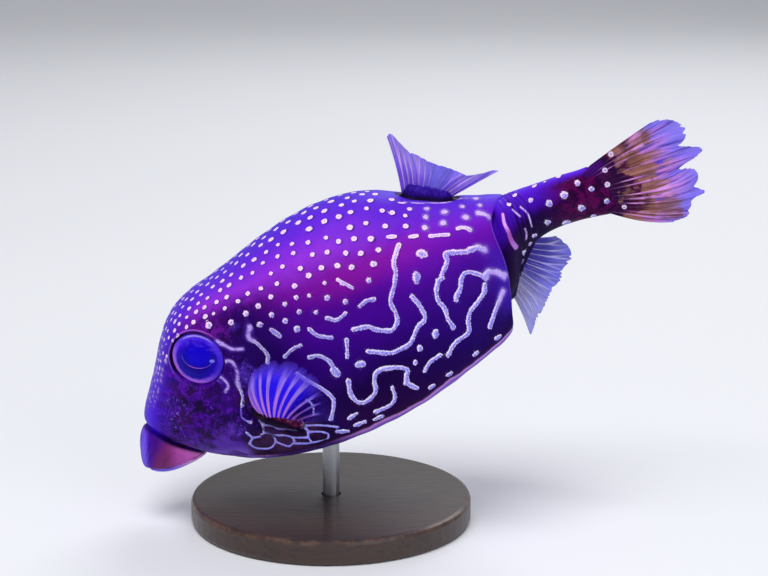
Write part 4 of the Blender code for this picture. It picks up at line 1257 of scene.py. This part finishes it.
def paint_tail():
    """Dark at its root, amber in patches, violet and pink where the rays fan out."""
    p = Paint("tail fin")
    place = p.stored("place", True)
    ray, out, across = p.fin_places()
    fine, wide, lengthwise = p.along_rays(across * 64, out * 1.6, 0.65, 0.34)
    patch = p.noise(place, 0.34, 3, 0.55)
    bundle = p.noise(lengthwise, 0.12, 1, 0.5)
    fray = fine.sway(4.5) + patch.sway(6)
    root = p.mix((64, 6, 104), (58, 3, 56), (across + patch.sway(0.3)).rise(0.04, 0.3))
    root = p.mix(root, (34, 1, 34), (out + patch.sway(0.4)).rise(0.1, 0.24))
    gap = p.mix(root, (84, 18, 44), (out + patch.sway(0.3)).rise(0.24, 0.38))
    tan = p.mix((132, 84, 46), (178, 122, 104), fine.rise(0.4, 0.6))
    blade = p.mix((222, 142, 224), (142, 124, 255), (out + wide.sway(0.9)).rise(0.56, 0.94))
    strip = ((ray + fine.sway(0.9) + wide.sway(0.6)) - out * 0.9).rise(0.1, -0.24)
    strip = strip * (out + wide.sway(1.1) + bundle.sway(1.2)).rise(0.12, 0.36)
    strip = strip * bundle.rise(0.4, 0.54).math("MAXIMUM", out.rise(0.5, 0.85) * 0.9 + 0.1)
    gap = p.coats(
        gap,
        (tan, (out + patch.sway(1.1)).rise(0.34, 0.44) * 0.9),
        ((92, 66, 206), (out + patch.sway(0.7) + bundle.sway(1.2)).rise(0.6, 0.76)))
    blade = p.mix(blade, (62, 38, 160), fine.rise(0.49, 0.36) * 0.85)
    colour = p.mix(gap, blade, strip)
    amber = p.patches(place, AMBER, fray)
    brown = p.mix((108, 66, 40), (160, 108, 82), fine.rise(0.4, 0.6))
    blush = p.patches(place, BLUSH, fray)
    line = fine.sway(1).rise(0.04, 0.14) * out.rise(0.45, 0.7)
    mark = p.length(p.stored("mark", True)) + patch.sway(0.2)
    dots = p.mix((240, 214, 246), (126, 122, 210), mark.rise(0.6, 0.3) * 0.6)
    alpha = (out.rise(1.8, 0.7) + fine.sway(0.3) + amber).math("MINIMUM", 1)
    colour = p.coats(
        colour,
        (brown, amber * 0.85),
        ((56, 8, 40), p.patches(place, MAROON, fray) * 0.6),
        ((236, 160, 232), blush * strip * 0.9),
        ((158, 146, 252), line * 0.7),
        (dots, mark.rise(1.05, 0.85) * p.stored("mark_gap").rise(1.5, 1.2)))
    return finish_fin(p, colour, alpha.math("MAXIMUM", out.rise(0.5, 0.35)),
                      p.bump(strip + fine, 0.15 * MM))


def paint_pectoral():
    """Deep blue between soft pink rays in front, all but clear behind."""
    p = Paint("pectoral fin")
    ray, out, across = p.fin_places()
    fine, wide, _ = p.along_rays(across * 40, out * 2, 0.6, 0.4)
    veil = (across + wide.sway(0.3)).rise(0.2, 0.02).math("MAXIMUM", out.rise(0.62, 1) * 0.6)
    colour = p.mix((32, 6, 255), (128, 86, 255), veil)
    rear = across.rise(0.5, 0.95)
    strip = (ray + fine.sway(0.6) + wide.sway(0.45) + out * 0.5 + rear * 0.28).rise(0.74, 0.5)
    strip = strip * out.rise(1.02, 0.66)
    strip = strip.math("MAXIMUM", across.rise(0.1, 0.02) * fine.rise(0.4, 0.6) * out.rise(1, 0.7))
    tone = p.mix((232, 150, 236), (192, 150, 255), out.rise(0.25, 0.7))
    alpha = (across.rise(0.74, 0.52) * 0.93 + 0.05) * out.rise(1.06, 0.7)
    alpha = alpha.math("MAXIMUM", strip * (1 - rear * 0.6) * 0.9)
    colour = p.mix(colour, tone, strip * (fine.rise(0.3, 0.65) * 0.45 + 0.4))
    return finish_fin(p, colour, alpha.math("MAXIMUM", out.rise(0.2, 0.06)),
                      p.bump(strip, 0.12 * MM))


def paint_fins(pieces):
    dorsal, anal, tail, left, right = pieces
    p, colour, alpha, relief = paint_fin("dorsal fin", (120, 82, 236), (154, 132, 255),
                                         (232, 184, 255), (1, 0.85))
    across = p.stored("across")
    calm = across.band(0.55, 0.24)
    colour = p.mix(colour, (76, 60, 236), calm * 0.8)
    give(dorsal, finish_fin(p, colour, alpha * (1 - calm * 0.25), relief))
    p, colour, alpha, relief = paint_fin("anal fin", (66, 54, 192), (112, 112, 250),
                                         (214, 206, 255), (0.96, 0.74))
    thin = p.stored("across").rise(0.4, 0.8) * 0.35
    give(anal, finish_fin(p, colour, alpha * (1 - thin), relief))
    give(tail, paint_tail())
    blade = paint_pectoral()
    give(left, blade)
    give(right, blade)


def give(piece, material):
    piece.data.materials.clear()
    piece.data.materials.append(material)


def paint_base():
    p = Paint("dark stained wood")
    place = p.millimetres()
    long_way = p.scaled(place, (0.05, 1, 1))
    ring = p.noise(long_way, 0.55, 4, 0.55, 1.2)
    pores = p.noise(p.scaled(place, (0.12, 2.4, 2.4)), 2.2, 2, 0.7)
    wood = p.ramp(ring, (0.25, (30, 18, 15)), (0.5, (58, 35, 26)), (0.7, (40, 24, 19)),
                  (0.85, (74, 46, 33)))
    x, y, z = p.parts(place)
    away = (x * x + y * y).math("SQRT")
    worn = away.rise(23.9, 24.8) * z.rise(3.2, 4.4) * p.noise(place, 0.5, 3).rise(0.4, 0.65)
    wood = p.coats(
        wood,
        ((16, 10, 9), pores.rise(0.58, 0.72) * 0.7),
        ((112, 78, 56), worn * 0.55))
    return p.finish(Base_Color=wood, Roughness=0.34 + pores * 0.3, Coat_Weight=0.35,
                    Coat_Roughness=0.18, Normal=p.bump(pores * -1 + ring * 0.5, 0.08 * MM))


def paint_rod():
    p = Paint("brushed steel")
    place = p.millimetres()
    brush = p.noise(p.scaled(place, (1, 1, 9)), 1.4, 3, 0.7)
    colour = p.mix((150, 152, 158), (204, 206, 212), brush)
    return p.finish(Base_Color=colour, Metallic=1, Roughness=0.26 + brush * 0.2,
                    Normal=p.bump(brush, 0.02 * MM))


# ---------------------------------------------------------------- studio
CAMERA_TARGET = (9.45, 0, 42.25)    # millimetres
CAMERA_DISTANCE = 0.35
CAMERA_TILT = math.radians(13)      # how far the camera looks down


def make_floor():
    """A pale floor that sweeps up behind into a backdrop."""
    profile = [(-3, 0), (0.9, 0)]
    profile += [(0.9 + 0.7 * math.sin(a), 0.7 - 0.7 * math.cos(a))
                for a in np.linspace(0, math.pi / 2, 17)[1:]]
    profile.append((1.6, 3))
    points = [(x, y, z) for y, z in profile for x in (-4, 4)]
    faces = [[2 * i, 2 * i + 1, 2 * i + 3, 2 * i + 2] for i in range(len(profile) - 1)]
    floor = put_mesh("floor", points, faces, [CORNERS] * len(faces))
    p = Paint("pale floor")
    cloud = p.noise(p.node("TexCoord", out="Object"), 3)
    give(floor, p.finish(Base_Color=p.mix((226, 227, 232), (234, 235, 239), cloud),
                         Roughness=0.7))


def add_light(name, place, target, power, size, colour=(1, 1, 1)):
    lamp = bpy.data.lights.new(name, "AREA")
    lamp.energy, lamp.size, lamp.color = power, size, colour
    holder = bpy.data.objects.new(name, lamp)
    holder.location = place
    holder.rotation_euler = (Vector(target) - Vector(place)).to_track_quat("-Z", "Y").to_euler()
    bpy.context.scene.collection.objects.link(holder)


def light_studio():
    world = bpy.data.worlds.new("studio")
    world.use_nodes = True
    background = world.node_tree.nodes["Background"]
    background.inputs["Color"].default_value = (0.93, 0.95, 1, 1)
    background.inputs["Strength"].default_value = 0.34
    bpy.context.scene.world = world
    middle = (0, 0, 0.045)
    add_light("key", (-0.15, -0.35, 0.8), middle, 5.4, 0.5)
    add_light("fill", (0.6, -0.7, 0.35), middle, 1.6, 0.6)
    add_light("back", (0.2, 0.6, 0.6), middle, 2.5, 0.5)


def add_camera():
    """Looks level with the fish's left side from a little above."""
    lens = bpy.data.cameras.new("camera")
    lens.lens, lens.sensor_width, lens.clip_start = 93.75, 36, 0.01
    camera = bpy.data.objects.new("camera", lens)
    away = Vector((0, -math.cos(CAMERA_TILT), math.sin(CAMERA_TILT)))
    camera.location = Vector(CAMERA_TARGET) * MM + away * CAMERA_DISTANCE
    camera.rotation_euler = (math.pi / 2 - CAMERA_TILT, 0, 0)
    bpy.context.scene.collection.objects.link(camera)
    bpy.context.scene.camera = camera


def main():
    bpy.context.scene.view_settings.view_transform = "Standard"
    add_camera()
    light_studio()
    make_floor()

    body, sockets = make_skin()
    give(body, paint_skin())
    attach(body, "root")
    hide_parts("head", "trunk", "upper_lip", "lower_lip", "tail_stalk", "dorsal_base",
                "anal_base", "pectoral_base_left", "pectoral_base_right")

    eye_paint = paint_eye()
    for side, name in SIDES:
        eye = make_eye("eyeball_" + name, sockets[side], side)
        give(eye, eye_paint)
        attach(eye, "root")
        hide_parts("eye_" + name)

    fins = make_fins()
    paint_fins(fins)
    for fin, node in zip(fins, ("dorsal_fin", "anal_fin", "caudal_fin", "pectoral_fin_left",
                                "pectoral_fin_right")):
        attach(fin, "root")
        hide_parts(node)

    give(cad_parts["stand_base"], paint_base())
    give(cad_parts["stand_rod"], paint_rod())


main()
